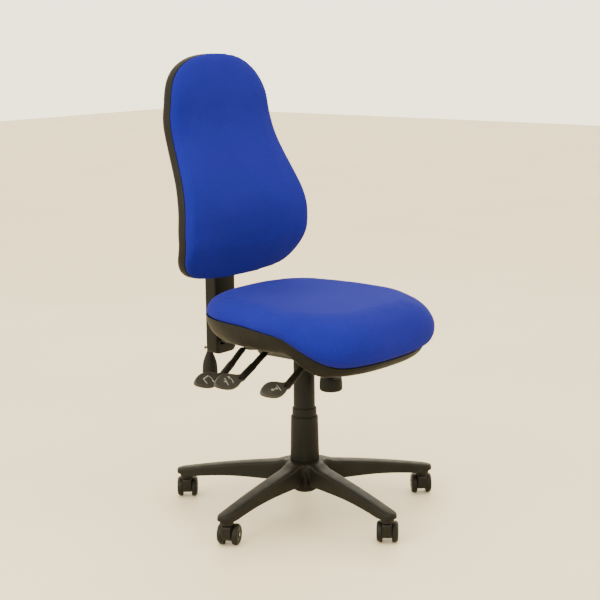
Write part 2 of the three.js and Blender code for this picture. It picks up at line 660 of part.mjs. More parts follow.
// The inflatable lumbar pad, an oval that lies in a pocket behind the foam.
function lumbarPad(grow, rear) {
  const { halfWidth, halfHeight, z, front } = LUMBAR_PAD;
  const oval = new THREE.Shape();
  oval.absellipse(0, 0, halfWidth + grow, halfHeight + grow, 0, 2 * Math.PI);
  return new THREE.ExtrudeGeometry(oval,
    { depth: rear - front + grow, bevelEnabled: false, curveSegments: 10 })
    .rotateX(Math.PI / 2)
    .translate(0, rear, z);
}

function backCushion() {
  const crown = (share) => (x, z, rimZ) => {
    const front = -27 + (7 + 15 * lumbar(z, 95)) * across(x) - 15 * lumbar(z, 80) * across(x);
    return share * (backRim(z) + front) + (1 - share) * backRim(rimZ);
  };
  const back = (x, z) => boardFront(x, z) - 2.5;
  const foam = loft([
    backLoop(0.3, back), backLoop(0.65, back), backLoop(0.88, back), backLoop(0.972, rimDepth(4)),
    backLoop(0.975, rimDepth(-1)), backLoop(0.995, rimDepth(-8)), backLoop(0.975, crown(0.72)),
    backLoop(0.9, crown(0.97)), backLoop(0.65, crown(1)), backLoop(0.3, crown(1)),
  ]);
  return cut(foam, lumbarPad(GAP, LUMBAR_PAD.rear + 30));
}

function backBoard() {
  const front = (x, z) => boardFront(x, z);
  const rear = (x, z) => boardFront(x, z) + 6;
  return loft([
    backLoop(0.3, front), backLoop(0.65, front), backLoop(0.88, front),
    backLoop(0.88, rear), backLoop(0.65, rear), backLoop(0.3, rear),
  ]);
}

// A C-shaped housing on the shell's back, open below, where the upright enters.
function backHousing() {
  const half = UPRIGHT.width / 2 + 13;
  const outer = box([-half, 200, 598], [half, HOUSING_REAR, 850]);
  const inner = box([-half + 3, 190, 590], [half - 3, HOUSING_REAR - 3, 846]);
  return geometryOf(solid(outer).subtract(solid(inner)).subtract(solid(shellEnvelope())));
}

// The height ratchet's sleeve, which slides on the upright.
function heightSlider() {
  const { width, front, rear } = UPRIGHT;
  const wall = SLIDER.wall;
  const sleeve = box([-width / 2 - wall, front - wall, SLIDER.bottom],
    [width / 2 + wall, rear + wall, SLIDER.top]);
  const foot = box([-30, 200, SLIDER.bottom + 6], [30, front - wall + 1, SLIDER.top - 6]);
  const clip = box([-HOSE_CLIP.halfWidth, rear + wall - 1, HOSE_CLIP.bottom],
    [HOSE_CLIP.halfWidth, HOSE_CLIP.y + 6, HOSE_CLIP.top]);
  const clipBore = rodAlongZ(HOSE_RADIUS + 2 * GAP, HOSE_CLIP.bottom - 5, HOSE_CLIP.top + 5, 12)
    .translate(0, HOSE_CLIP.y, 0);
  const slot = box([-width / 2 - GAP, front - GAP, 600], [width / 2 + GAP, rear + GAP, 760]);
  return geometryOf(solid(sleeve).add(solid(foot)).add(solid(clip)).subtract(solid(slot))
    .subtract(solid(clipBore)).subtract(solid(shellEnvelope())));
}

function barShape(spare) {
  const { width, thickness } = BAR;
  const half = width / 2 + spare;
  const middle = (UPRIGHT.front + UPRIGHT.rear) / 2;
  const foot = box([-half, BACK_PIVOT.y - 8, BACK_PIVOT.z - thickness / 2 - spare],
    [half, middle + thickness / 2 + spare, BACK_PIVOT.z + thickness / 2 + spare]);
  const post = box([-half, middle - thickness / 2 - spare, BACK_PIVOT.z - thickness / 2 - spare],
    [half, middle + thickness / 2 + spare, UPRIGHT.top - 10 + spare]);
  return solid(foot).add(solid(post));
}

function backBar() {
  const eye = rodAlongX(8.5, BAR.width).translate(0, BACK_PIVOT.y, BACK_PIVOT.z);
  const hole = rodAlongX(PIVOT_RADIUS + GAP, 60).translate(0, BACK_PIVOT.y, BACK_PIVOT.z);
  return geometryOf(barShape(0).add(solid(eye)).subtract(solid(hole)));
}

// The upright's plastic cover: a flat-sided tube with a rounded lower end.
function uprightCover() {
  const { width, front, rear, bottom, top } = UPRIGHT;
  const half = width / 2;
  const round = 16;
  const face = new THREE.Shape();
  face.moveTo(half, top);
  face.lineTo(-half, top);
  face.lineTo(-half, bottom + round);
  face.absarc(-half + round, bottom + round, round, Math.PI, 1.5 * Math.PI);
  face.absarc(half - round, bottom + round, round, 1.5 * Math.PI, 2 * Math.PI);
  const slab = new THREE.ExtrudeGeometry(face,
    { depth: rear - front, bevelEnabled: false, curveSegments: 5 })
    .rotateX(Math.PI / 2)
    .translate(0, rear, 0);
  return geometryOf(solid(slab).subtract(barShape(GAP + 0.2)));
}

function addBackrest() {
  add(chair, "back_bar", backBar(), BLACK_STEEL);
  add(chair, "upright_cover", uprightCover(), PLASTIC);
  add(chair, "height_slider", heightSlider(), PLASTIC);
  add(chair, "back_housing", backHousing(), PLASTIC);
  add(chair, "back_shell", backShell(), PLASTIC);
  add(chair, "back_board", backBoard(), BOARD);
  add(chair, "back_cushion", backCushion(), FABRIC);
  add(chair, "lumbar_bladder", lumbarPad(0, LUMBAR_PAD.rear), RUBBER);
}

// --------------------------------------------------------------- lumbar pump

function addPump() {
  add(chair, "pump_hose", sweep(HOSE_POINTS, HOSE_RADIUS, 8, 20), RUBBER);
  const { y, top, neck, belly, bottom, radius } = BULB;
  add(chair, "pump_bulb", turnedSolid([
    [0, bottom], [radius * 0.55, bottom + 4], [radius * 0.9, bottom + 20], [radius, belly],
    [radius * 0.85, belly + 20], [radius * 0.5, belly + 33], [6, neck], [6, top], [0, top],
  ], 14).translate(0, y, 0), RUBBER);
  const knobStem = new THREE.CylinderGeometry(4, 4, 7, 10)
    .rotateX(Math.PI / 2)
    .rotateX(Math.PI / 2)
    .translate(0, 10.5, 0);
  const valve = add(chair, "valve_knob", knobStem, STEEL);
  valve.rotation.z = rad(30);
  valve.position.set(0, y, 380);
}

addBase();
addColumn();
addMechanism();
addSeat();
addBackrest();
addPump();

export default chair;
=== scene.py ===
"""The looks of a swivel operator chair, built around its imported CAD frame.

Shapes are worked out in millimetres from the swivel axis, with the chair facing -Y
and the sitter's right at -X, and at() turns them into the frame's metres.
"""

from math import atan2, copysign, cos, exp, pi, radians, sin

import bmesh
import bpy
import numpy as np
from mathutils import Matrix, Vector


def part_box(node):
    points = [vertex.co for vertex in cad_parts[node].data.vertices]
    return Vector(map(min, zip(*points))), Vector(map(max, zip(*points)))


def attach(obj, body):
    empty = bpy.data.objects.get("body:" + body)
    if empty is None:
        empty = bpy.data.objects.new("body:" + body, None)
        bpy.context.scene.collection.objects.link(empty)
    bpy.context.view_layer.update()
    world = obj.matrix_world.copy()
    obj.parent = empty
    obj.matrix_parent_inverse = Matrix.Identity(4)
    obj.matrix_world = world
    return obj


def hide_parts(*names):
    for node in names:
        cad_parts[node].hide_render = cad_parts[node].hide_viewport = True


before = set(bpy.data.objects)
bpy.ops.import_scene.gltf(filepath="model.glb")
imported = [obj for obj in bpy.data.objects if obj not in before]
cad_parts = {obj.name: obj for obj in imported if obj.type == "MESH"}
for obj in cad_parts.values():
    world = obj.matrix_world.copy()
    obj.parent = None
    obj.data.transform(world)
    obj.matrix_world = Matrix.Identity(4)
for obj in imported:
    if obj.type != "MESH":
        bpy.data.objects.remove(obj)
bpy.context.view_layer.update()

MM = 0.001
tube_low, tube_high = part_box("column_tube")
AXIS = Vector(((tube_low.x + tube_high.x) / 2, (tube_low.y + tube_high.y) / 2, 0))
SCENE = bpy.context.scene


def at(x, y, z):
    """A point given in millimetres from the swivel axis."""
    return Vector((x * MM, y * MM, z * MM)) + AXIS


def clamp(value):
    return max(0.0, min(1.0, value))


def ease(value, start, end):
    t = clamp((value - start) / (end - start))
    return t * t * (3 - 2 * t)


# ---- camera


def add_camera():
    azimuth, distance, height = radians(-51), 3.51, 1.24
    pitch, yaw, roll = 0.1952, -0.0023, -0.0108
    forward = Vector((sin(yaw) * cos(pitch), cos(yaw) * cos(pitch), -sin(pitch)))
    level = Vector((cos(yaw), -sin(yaw), 0))
    above = level.cross(forward)
    right = cos(roll) * level + sin(roll) * above
    up = cos(roll) * above - sin(roll) * level
    turn = Matrix.Rotation(azimuth, 3, "Z")
    axes = turn @ Matrix((right, up, -forward)).transposed()
    camera = placed("camera", bpy.data.cameras.new("camera"))
    camera.data.lens = 85.97
    camera.data.sensor_width = 36
    place = AXIS + turn @ Vector((0, -distance, height))
    camera.matrix_world = Matrix.Translation(place) @ axes.to_4x4()
    SCENE.camera = camera


# ---- mesh building


def placed(name, data):
    """A new object in the scene."""
    obj = bpy.data.objects.new(name, data)
    SCENE.collection.objects.link(obj)
    return obj


def mesh_object(name, points, faces, sharp=40):
    """An object from points in millimetres and faces, shaded smooth but for sharp edges."""
    mesh = bpy.data.meshes.new(name)
    mesh.from_pydata([at(*p) for p in points], [], faces)
    made = bmesh.new()
    made.from_mesh(mesh)
    bmesh.ops.remove_doubles(made, verts=made.verts, dist=2e-6)
    loose = [v for v in made.verts if not v.link_faces]
    bmesh.ops.delete(made, geom=loose, context="VERTS")
    bmesh.ops.recalc_face_normals(made, faces=made.faces)
    made.to_mesh(mesh)
    made.free()
    obj = placed(name, mesh)
    shade(obj, sharp)
    return obj


def shade(obj, sharp=40):
    made = bmesh.new()
    made.from_mesh(obj.data)
    for face in made.faces:
        face.smooth = True
    for edge in made.edges:
        edge.smooth = len(edge.link_faces) != 2 or edge.calc_face_angle() < radians(sharp)
    made.to_mesh(obj.data)
    made.free()


def loft(name, loops, sharp=40, closed=False):
    """A body through equal loops of points, its ends closed by fans, or end joined to start."""
    count = len(loops[0])
    points = [p for loop in loops for p in loop]
    faces = []
    spans = len(loops) if closed else len(loops) - 1
    for k in range(spans):
        a = k * count
        b = (k + 1) % len(loops) * count
        for i in range(count):
            j = (i + 1) % count
            faces.append((a + i, a + j, b + j, b + i))
    if not closed:
        for first, loop in ((0, loops[0]), ((len(loops) - 1) * count, loops[-1])):
            points.append(tuple(sum(p[axis] for p in loop) / count for axis in range(3)))
            middle = len(points) - 1
            faces += [(middle, first + i, first + (i + 1) % count) for i in range(count)]
    return mesh_object(name, points, faces, sharp)


def circle(sides):
    """The cosine and sine of every step round a circle."""
    angles = [2 * pi * i / sides for i in range(sides)]
    return [(cos(a), sin(a)) for a in angles]


def turned(name, profile, centre=(0, 0, 0), sides=72, sharp=40, axis="Z", on_axis=False):
    """A solid of revolution about Z or Y from a [radius, height] profile.

    The profile is closed on itself, or ends on the axis."""
    loops = []
    for radius, height in profile:
        ring = [(radius * c, radius * s, height) for c, s in circle(sides)]
        if axis == "Y":
            ring = [(x, z, y) for x, y, z in ring]
        loops.append([tuple(v + o for v, o in zip(p, centre)) for p in ring])
    return loft(name, loops, sharp, closed=not on_axis)


def arc(centre, radius, start, end, count):
    """Points of an arc in a profile's plane, with its angles in degrees."""
    angles = [radians(start + (end - start) * i / (count - 1)) for i in range(count)]
    return [(centre[0] + radius * cos(a), centre[1] + radius * sin(a)) for a in angles]


def catmull(points, per_span, closed=False):
    """A uniform Catmull-Rom curve through points."""
    pts = [np.array(p, float) for p in points]
    count = len(pts)
    spans = count if closed else count - 1
    out = []
    for k in range(spans):
        if closed:
            p0, p1, p2, p3 = (pts[(k + i - 1) % count] for i in range(4))
        else:
            p1, p2 = pts[k], pts[k + 1]
            p0 = pts[k - 1] if k else 2 * p1 - p2
            p3 = pts[k + 2] if k + 2 < count else 2 * p2 - p1
        for i in range(per_span):
            t = i / per_span
            out.append(0.5 * (2 * p1 + (p2 - p0) * t + (2 * p0 - 5 * p1 + 4 * p2 - p3) * t * t
                              + (3 * p1 - p0 - 3 * p2 + p3) * t ** 3))
    if not closed:
        out.append(pts[-1])
    return out


def join(name, pieces):
    """One object from several."""
    bpy.ops.object.select_all(action="DESELECT")
    for piece in pieces:
        piece.select_set(True)
    bpy.context.view_layer.objects.active = pieces[0]
    bpy.ops.object.join()
    pieces[0].name = name
    pieces[0].data.name = name
    return pieces[0]


def block(name, low, high, round_edge=0.0):
    """A box between two corners in millimetres, with rounded edges."""
    corners = [(x, y, z) for x in (low[0], high[0]) for y in (low[1], high[1]) for z in (low[2], high[2])]
    faces = [(0, 1, 3, 2), (4, 6, 7, 5), (0, 4, 5, 1), (2, 3, 7, 6), (0, 2, 6, 4), (1, 5, 7, 3)]
    obj = mesh_object(name, corners, faces)
    if round_edge:
        bevel(obj, round_edge)
        apply_modifiers(obj)
        shade(obj)
    return obj


def bevel(obj, width):
    modifier = obj.modifiers.new("bevel", "BEVEL")
    modifier.width = width * MM
    modifier.segments = 2
    modifier.limit_method = "ANGLE"
    modifier.angle_limit = radians(35)
    modifier.harden_normals = True


def apply_modifiers(obj):
    """Bakes an object's modifiers into its mesh."""
    bpy.context.view_layer.update()
    graph = bpy.context.evaluated_depsgraph_get()
    mesh = bpy.data.meshes.new_from_object(obj.evaluated_get(graph))
    old = obj.data
    obj.modifiers.clear()
    obj.data = mesh
    bpy.data.meshes.remove(old)


def cut(obj, tool):
    """Takes the tool's solid out of an object, and removes the tool."""
    modifier = obj.modifiers.new("cut", "BOOLEAN")
    modifier.solver = "EXACT"
    modifier.object = tool
    apply_modifiers(obj)
    bpy.data.objects.remove(tool)
    shade(obj)


def moved(obj, matrix):
    """Moves an object's mesh about the swivel axis's foot, with the shift in millimetres."""
    shift = Matrix.Translation(AXIS)
    scaled = Matrix.Translation(matrix.to_translation() * MM) @ matrix.to_3x3().to_4x4()
    obj.data.transform(shift @ scaled @ shift.inverted())
    return obj


def painted(obj, material):
    obj.data.materials.clear()
    obj.data.materials.append(material)


def fitted(obj, body, slot, material, *nodes):
    """Gives a piece its body, its finish and the CAD nodes that it stands for."""
    painted(obj, material)
    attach(obj, body)
    if nodes:
        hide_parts(*nodes)
    return obj


# ---- materials


class Nodes:
    """A short way to write a material's nodes."""

    def __init__(self, name):
        self.material = bpy.data.materials.new(name)
        self.material.use_nodes = True
        self.tree = self.material.node_tree
        self.shader = self.tree.nodes["Principled BSDF"]

    def add(self, kind, **inputs):
        """Adds a node; an input that is a socket is linked, and anything else is its value."""
        node = self.tree.nodes.new("ShaderNode" + kind)
        for key, value in inputs.items():
            self.set(node.inputs[key.replace("_", " ")], value)
        return node

    def set(self, socket, value):
        if isinstance(value, bpy.types.NodeSocket):
            self.tree.links.new(value, socket)
        else:
            socket.default_value = value

    def math(self, operation, a, b=0.0):
        node = self.tree.nodes.new("ShaderNodeMath")
        node.operation = operation
        self.set(node.inputs[0], a)
        self.set(node.inputs[1], b)
        return node.outputs[0]

    def noise(self, scale, detail=4, vector=None):
        node = self.add("TexNoise", Scale=scale, Detail=detail)
        self.set(node.inputs["Vector"], vector or self.coordinates())
        return node.outputs["Fac"]

    def coordinates(self):
        return self.add("TexCoord").outputs["Object"]

    def ramp(self, value, low=0.3, high=0.7):
        """Turns a value between low and high into 0 to 1."""
        node = self.add("MapRange", Value=value)
        node.inputs["From Min"].default_value = low
        node.inputs["From Max"].default_value = high
        return node.outputs["Result"]

    def mix(self, factor, a, b):
        node = self.tree.nodes.new("ShaderNodeMix")
        node.data_type = "RGBA"
        self.set(node.inputs["Factor"], factor)
        self.set(node.inputs["A"], a)
        self.set(node.inputs["B"], b)
        return node.outputs["Result"]

    def bump(self, height, strength, distance, normal=None):
        node = self.add("Bump", Strength=strength, Distance=distance, Height=height)
        if normal is not None:
            self.set(node.inputs["Normal"], normal)
        return node.outputs["Normal"]

    def finish(self, **sockets):
        for key, value in sockets.items():
            self.set(self.shader.inputs[key.replace("_", " ")], value)
        return self.material


def rgb(red, green, blue):
    return (red, green, blue, 1.0)


THREAD_PITCH = 1.1


def fabric_material():
    """A stretched plain weave: threads, a soft nap, and slow changes of colour."""
    n = Nodes("blue_weave")
    turns_per_metre = 2 * pi / (THREAD_PITCH * MM)
    place = n.add("SeparateXYZ", Vector=n.coordinates())
    facing = n.add("SeparateXYZ", Vector=n.add("NewGeometry").outputs["Normal"])
    wave = [n.math("SINE", n.math("MULTIPLY", place.outputs[i], turns_per_metre)) for i in range(3)]
    weave = None
    for i in range(3):
        crossing = n.math("MULTIPLY", wave[(i + 1) % 3], wave[(i + 2) % 3])
        share = n.math("MULTIPLY", crossing, n.math("ABSOLUTE", facing.outputs[i]))
        weave = share if weave is None else n.math("ADD", weave, share)
    fuzz = n.noise(2600, 2)
    slubs = n.noise(260)
    height = n.math("ADD", n.math("MULTIPLY", weave, 0.5), n.math("MULTIPLY", fuzz, 0.9))
    clouds = n.ramp(n.noise(9))
    base = n.mix(clouds, rgb(0.0078, 0.0092, 0.178), rgb(0.0098, 0.0113, 0.212))
    threads = n.ramp(n.math("ADD", n.math("MULTIPLY", weave, 0.35), slubs), 0.1, 0.95)
    colour = n.mix(threads, rgb(0.0052, 0.0068, 0.13), base)
    normal = n.bump(n.ramp(slubs, 0.2, 0.8), 0.1, 0.0006)
    normal = n.bump(height, 0.3, 0.00035, normal)
    return n.finish(Base_Color=colour, Roughness=0.9, Normal=normal, Specular_IOR_Level=0.05,
                    Sheen_Weight=0.03, Sheen_Roughness=0.4, Sheen_Tint=rgb(0.28, 0.33, 1.0))


def plastic_material(name, dark, light, roughness, grain=1500, wear=0.0):
    """Moulded plastic: fine spark-eroded grain, faint flow marks, and paler worn edges."""
    n = Nodes(name)
    colour = n.mix(n.ramp(n.noise(14, 5), 0.35, 0.65), rgb(*dark), rgb(*light))
    if wear:
        edges = n.ramp(n.add("NewGeometry").outputs["Pointiness"], 0.515, 0.6)
        patches = n.math("MULTIPLY", edges, n.ramp(n.noise(70), 0.4, 0.7))
        worn = rgb(*(min(1.0, 2.0 * c + 0.004) for c in light))
        colour = n.mix(n.math("MULTIPLY", patches, wear), colour, worn)
    rough = n.math("ADD", n.math("MULTIPLY", n.ramp(n.noise(45)), 0.1), roughness - 0.05)
    return n.finish(Base_Color=colour, Roughness=rough, Specular_IOR_Level=0.12,
                    Normal=n.bump(n.noise(grain, 2), 0.25, 0.00012))


def steel_material(name, colour, roughness, metallic=1.0):
    """Machined or painted steel with fine scratches along X."""
    n = Nodes(name)
    stretch = n.add("Mapping", Vector=n.coordinates())
    stretch.inputs["Scale"].default_value = (0.06, 1, 1)
    lines = n.noise(900, 3, stretch.outputs[0])
    rough = n.math("ADD", n.math("MULTIPLY", lines, 0.22), roughness - 0.1)
    tone = n.mix(n.ramp(n.noise(30)), rgb(*(0.85 * c for c in colour)), rgb(*colour))
    return n.finish(Base_Color=tone, Metallic=metallic, Roughness=rough,
                    Normal=n.bump(lines, 0.08, 0.0001))


def wood_material():
    """Birch ply: pale wood streaked with darker grain."""
    n = Nodes("birch_ply")
    stretch = n.add("Mapping", Vector=n.coordinates())
    stretch.inputs["Scale"].default_value = (1, 0.08, 1)
    grain = n.noise(120, 6, stretch.outputs[0])
    return n.finish(Base_Color=n.mix(grain, rgb(0.2, 0.12, 0.055), rgb(0.36, 0.25, 0.14)),
                    Roughness=0.7, Normal=n.bump(grain, 0.2, 0.0003))


def floor_material():
    n = Nodes("pale_floor")
    mottle = n.ramp(n.noise(1.3, 5))
    colour = n.mix(mottle, rgb(0.6, 0.52, 0.37), rgb(0.66, 0.575, 0.42))
    return n.finish(Base_Color=colour, Roughness=n.math("ADD", n.math("MULTIPLY", mottle, 0.1), 0.5))


FABRIC = fabric_material()
SHELL = plastic_material("shell_plastic", (0.0036, 0.0034, 0.0028), (0.0052, 0.0048, 0.004), 0.56)
NYLON = plastic_material("base_nylon", (0.0052, 0.0048, 0.0036), (0.0074, 0.0068, 0.0052), 0.5,
                         grain=900, wear=0.5)
CASTOR = plastic_material("castor_nylon", (0.0065, 0.0062, 0.0054), (0.0095, 0.009, 0.008), 0.42,
                          grain=700, wear=0.6)
COVER = plastic_material("cover_plastic", (0.0042, 0.0042, 0.0036), (0.006, 0.0059, 0.0051), 0.54)
LEVER = plastic_material("lever_plastic", (0.028, 0.0265, 0.0235), (0.038, 0.036, 0.0325), 0.4,
                         grain=1100, wear=0.4)
RUBBER = plastic_material("black_rubber", (0.006, 0.0057, 0.005), (0.0085, 0.0081, 0.0072), 0.68,
                          grain=500)
PRINT = plastic_material("pale_print", (0.26, 0.26, 0.25), (0.32, 0.32, 0.31), 0.55)
BLACK_STEEL = steel_material("black_powder_coat", (0.007, 0.0068, 0.0064), 0.45, metallic=0.0)
STEEL = steel_material("bright_steel", (0.4, 0.4, 0.41), 0.34)
PLY = wood_material()


# ---- pump hose, the cord

HOSE_RADIUS = 3
HOSE_POINTS = [
    (0, 312, 676), (0, 312, 655), (0, 312.2, 634), (0, 312.8, 612), (0, 313.6, 590),
    (0, 314.6, 568), (0, 315.7, 545), (0, 316.8, 522), (0, 317.9, 499), (0, 318.9, 476),
    (0, 319.8, 454), (0, 320.6, 432), (0, 321.3, 410), (0, 322, 388.3),
]
BULB_Y = HOSE_POINTS[-1][1]


def add_pump():
    curve = bpy.data.curves.new("pump_hose_line", "CURVE")
    curve.dimensions = "3D"
    curve.bevel_depth = HOSE_RADIUS * MM
    curve.bevel_resolution = 4
    curve.resolution_u = 6
    curve.use_fill_caps = True
    spline = curve.splines.new("BEZIER")
    spline.bezier_points.add(len(HOSE_POINTS) - 1)
    for knot, point in zip(spline.bezier_points, HOSE_POINTS):
        knot.co = at(*point)
        knot.handle_left_type = knot.handle_right_type = "AUTO"
    hose = placed("pump_hose_line", curve)
    fitted(hose, "backrest", "rubber", RUBBER, "pump_hose")

    pear = catmull([(0.01, 288), (9, 289), (16.5, 295), (19.8, 308), (20, 322), (18.6, 338),
                    (14.6, 352), (10.2, 363), (7.6, 370)], 5)
    neck = [(7.2, 371), (7.2, 376), (6.4, 377), (6.4, 386), (5.2, 388), (3.3, 388), (0.01, 388)]
    rubber = turned("pump_bulb_rubber", [tuple(p) for p in pear] + neck, (0, BULB_Y, 0), on_axis=True)
    ribs = [turned(f"bulb_rib_{i}", arc((radius, z), 0.8, -100, 100, 7), (0, BULB_Y, 0))
            for i, (radius, z) in enumerate(((7.0, 367), (7.0, 364.4)))]
    bulb = join("pump_bulb_rubber", [rubber, *ribs])
    fitted(bulb, "backrest", "rubber", RUBBER, "pump_bulb")

    valve = valve_screw()


def valve_screw():
    """The air valve's little knurled wheel, on the side of the bulb's neck."""
    profile = [(0.01, 7.2), (2.0, 7.2), (2.0, 9), (4.0, 9.2), (4.0, 13.4), (3.5, 14), (1.6, 14),
               (1.2, 13.4), (0.01, 13.4)]
    loops = []
    for radius, height in profile:
        ring = []
        for i, (c, s) in enumerate(circle(36)):
            r = radius - (0.25 if radius > 3.9 and i % 3 == 0 else 0)
            ring.append((r * c, height, r * s))
        loops.append(ring)
    screw = loft("valve_wheel", loops, 30)
    moved(screw, Matrix.Translation((0, BULB_Y, 380)) @ Matrix.Rotation(radians(30), 4, "Z"))
    return fitted(screw, "valve_knob", "steel", BLACK_STEEL, "valve_knob")


# ---- base

LEG_COUNT = 5
FIRST_LEG = 39.8
SECTOR = radians(180 / LEG_COUNT)
HUB_TOP = 133
HUB_RIM = HUB_TOP - 0.5
BAND_BOTTOM = 114
HUB_EDGE = 52
LEG_ROOT, TIP_START, LEG_END = 57, 331, 350
CASTOR_RADIUS = 325
LEG_WALL = 3.5
CHANNEL_END = 303
ACROSS = [-1, -0.985, -0.95, -0.88, -0.78, -0.62, -0.42, -0.2, 0, 0.2, 0.42, 0.62, 0.78, 0.88, 0.95,
          0.985, 1]


def leg_turn(leg):
    return Matrix.Rotation(radians(FIRST_LEG + 360 / LEG_COUNT * leg), 4, "Z")


def leg_top(r):
    return HUB_TOP - 0.085 * r - 0.00018 * r * r


def leg_bottom(r):
    return 78 - 0.00055 * max(0, r - 150) ** 2


def leg_half(r):
    return float(np.interp(r, [LEG_ROOT, 80, 150, 220, 290, TIP_START], [23, 22.4, 20.5, 19.5, 18.9, 18.5]))


def crest(x):
    """The height of a leg's middle line, which runs up into the hub's top."""
    return HUB_RIM - (HUB_RIM - leg_top(x)) * ease(x, 50, 80)


def roll(edge):
    """How far the crowned top has dropped, where edge runs from 0 in the middle to 1 at the edge."""
    return 9 * (1 - (1 - clamp(edge) ** 3.0) ** (1 / 3.0))


def leg_row(points, tops, bottom, roof):
    """A closed ring round a leg: its top, one wall, its hollow underside and the other wall."""
    ring = [(x, y, z) for (x, y), z in zip(points, tops)]
    half = points[-1][1]
    edge = tops[-1]
    steps = [(0.35, 0.012), (0.7, 0.03), (1 - 1.5 / max(edge - bottom, 2), 0.045)]
    right = [(points[-1][0], half * (1 + out), edge + (bottom - edge) * down) for down, out in steps]
    under = []
    for (x, y), t in zip(points, ACROSS):
        if abs(t) == 1:
            under.append((x, y * 1.04 - copysign(min(1.0, half * 0.2), y), bottom))
        elif abs(t) > 0.98:
            under.append((x, copysign(max(half - LEG_WALL, half * 0.6), y), bottom))
        elif abs(t) > 0.9:
            under.append((x, copysign(max(half - LEG_WALL - 0.8, half * 0.5), y), roof))
        else:
            under.append((x, y * 0.8, roof))
    left = [(x, -y, z) for x, y, z in right]
    return ring + right + under[::-1] + left[::-1]


def leg_rows():
    """The rings of one leg's sector from the hub's bore to the tip, and how many lie in the hub."""
    rows = []
    for radius in (26, 31, 36, 41, 45, 48.5, 51):
        spots = [(radius * cos(SECTOR * t), radius * sin(SECTOR * t)) for t in ACROSS]
        near_edge = clamp((radius - 30) / (HUB_EDGE - 30))
        tops = [HUB_TOP - 0.5 * ease(radius, 36, 52) - roll(near_edge * abs(t) ** 3) for t in ACROSS]
        rows.append(leg_row(spots, tops, BAND_BOTTOM, BAND_BOTTOM))
    in_hub = len(rows)
    edge_half = leg_half(LEG_ROOT)
    reach = (HUB_EDGE - edge_half) / (1 - sin(SECTOR))
    fillet = reach * sin(SECTOR) - edge_half
    centre = (reach * cos(SECTOR), reach * sin(SECTOR))
    turns = 9
    for k in range(turns + 1):
        share = k / turns
        angle = pi + SECTOR + (pi / 2 - SECTOR) * share
        x = centre[0] + fillet * cos(angle)
        y = centre[1] + fillet * sin(angle)
        bulge = 9.9 * (1 - share) + 4 * share
        spots = [(x + bulge * (1 - t * t), y * t) for t in ACROSS]
        tops = [crest(px) - roll(abs(t) ** (3 - 2 * share)) for (px, _), t in zip(spots, ACROSS)]
        bottom = BAND_BOTTOM - (BAND_BOTTOM - 80) * ease(share, 0.1, 1)
        roof = max(BAND_BOTTOM - 2 * share, bottom)
        rows.append(leg_row(spots, tops, bottom, roof))
    for x in (64, 72, 82, 95, 110, 130, 155, 180, 205, 230, 255, 280, CHANNEL_END, CHANNEL_END + 1,
              318, TIP_START):
        half = leg_half(x)
        bulge = 4 * (1 - ease(x, LEG_ROOT, 90))
        spots = [(x + bulge * (1 - t * t), half * t) for t in ACROSS]
        tops = [crest(px) - roll(abs(t)) for (px, _), t in zip(spots, ACROSS)]
        bottom = leg_bottom(x) + 9 * ease(x, 308, 345)
        roof = leg_top(x) - 13 if x <= CHANNEL_END else bottom
        rows.append(leg_row(spots, tops, bottom, roof))
    for degrees in (14, 28, 42, 54, 64, 73, 80, 86):
        angle = radians(degrees)
        x = TIP_START + (LEG_END - TIP_START) * sin(angle)
        spread = cos(angle) ** 0.85
        spots = [(x, leg_half(TIP_START) * spread * t) for t in ACROSS]
        tops = [leg_top(x) - roll(1 - (1 - abs(t)) * spread) for t in ACROSS]
        bottom = leg_bottom(TIP_START) + 9 * ease(x, 308, 345)
        rows.append(leg_row(spots, tops, min(bottom, tops[0] - 1), min(bottom, tops[0] - 1)))
    return rows, in_hub


def leg_skin():
    """All legs and the hub's top as one skin, its sectors joined along the lines between the legs."""
    rows, in_hub = leg_rows()
    width = len(ACROSS)
    count = len(rows[0])
    under = width + (count - 2 * width) // 2
    points = [p for row in rows for p in row]
    faces = []
    for k in range(len(rows) - 1):
        for i in range(count):
            is_wall = not (i < width - 1 or under <= i < under + width - 1)
            if k < in_hub and is_wall:
                continue
            a, b = k * count, (k + 1) * count
            j = (i + 1) % count
            faces.append((a + i, a + j, b + j, b + i))
    for first in (0, (len(rows) - 1) * count):
        for i in range(width - 1):
            below = first + under + width - 2 - i
            faces.append((first + i, first + i + 1, below, below + 1))
    last = (len(rows) - 1) * count
    for start, stop in ((width - 1, under), (under + width - 1, count)):
        faces.append(tuple(last + i % count for i in range(start, stop + 1)))
    everything = []
    all_faces = []
    for leg in range(LEG_COUNT):
        offset = len(everything)
        everything += [tuple(leg_turn(leg) @ Vector(p)) for p in points]
        all_faces += [tuple(offset + i for i in face) for face in faces]
    return mesh_object("star_base_skin", everything, all_faces, 32)


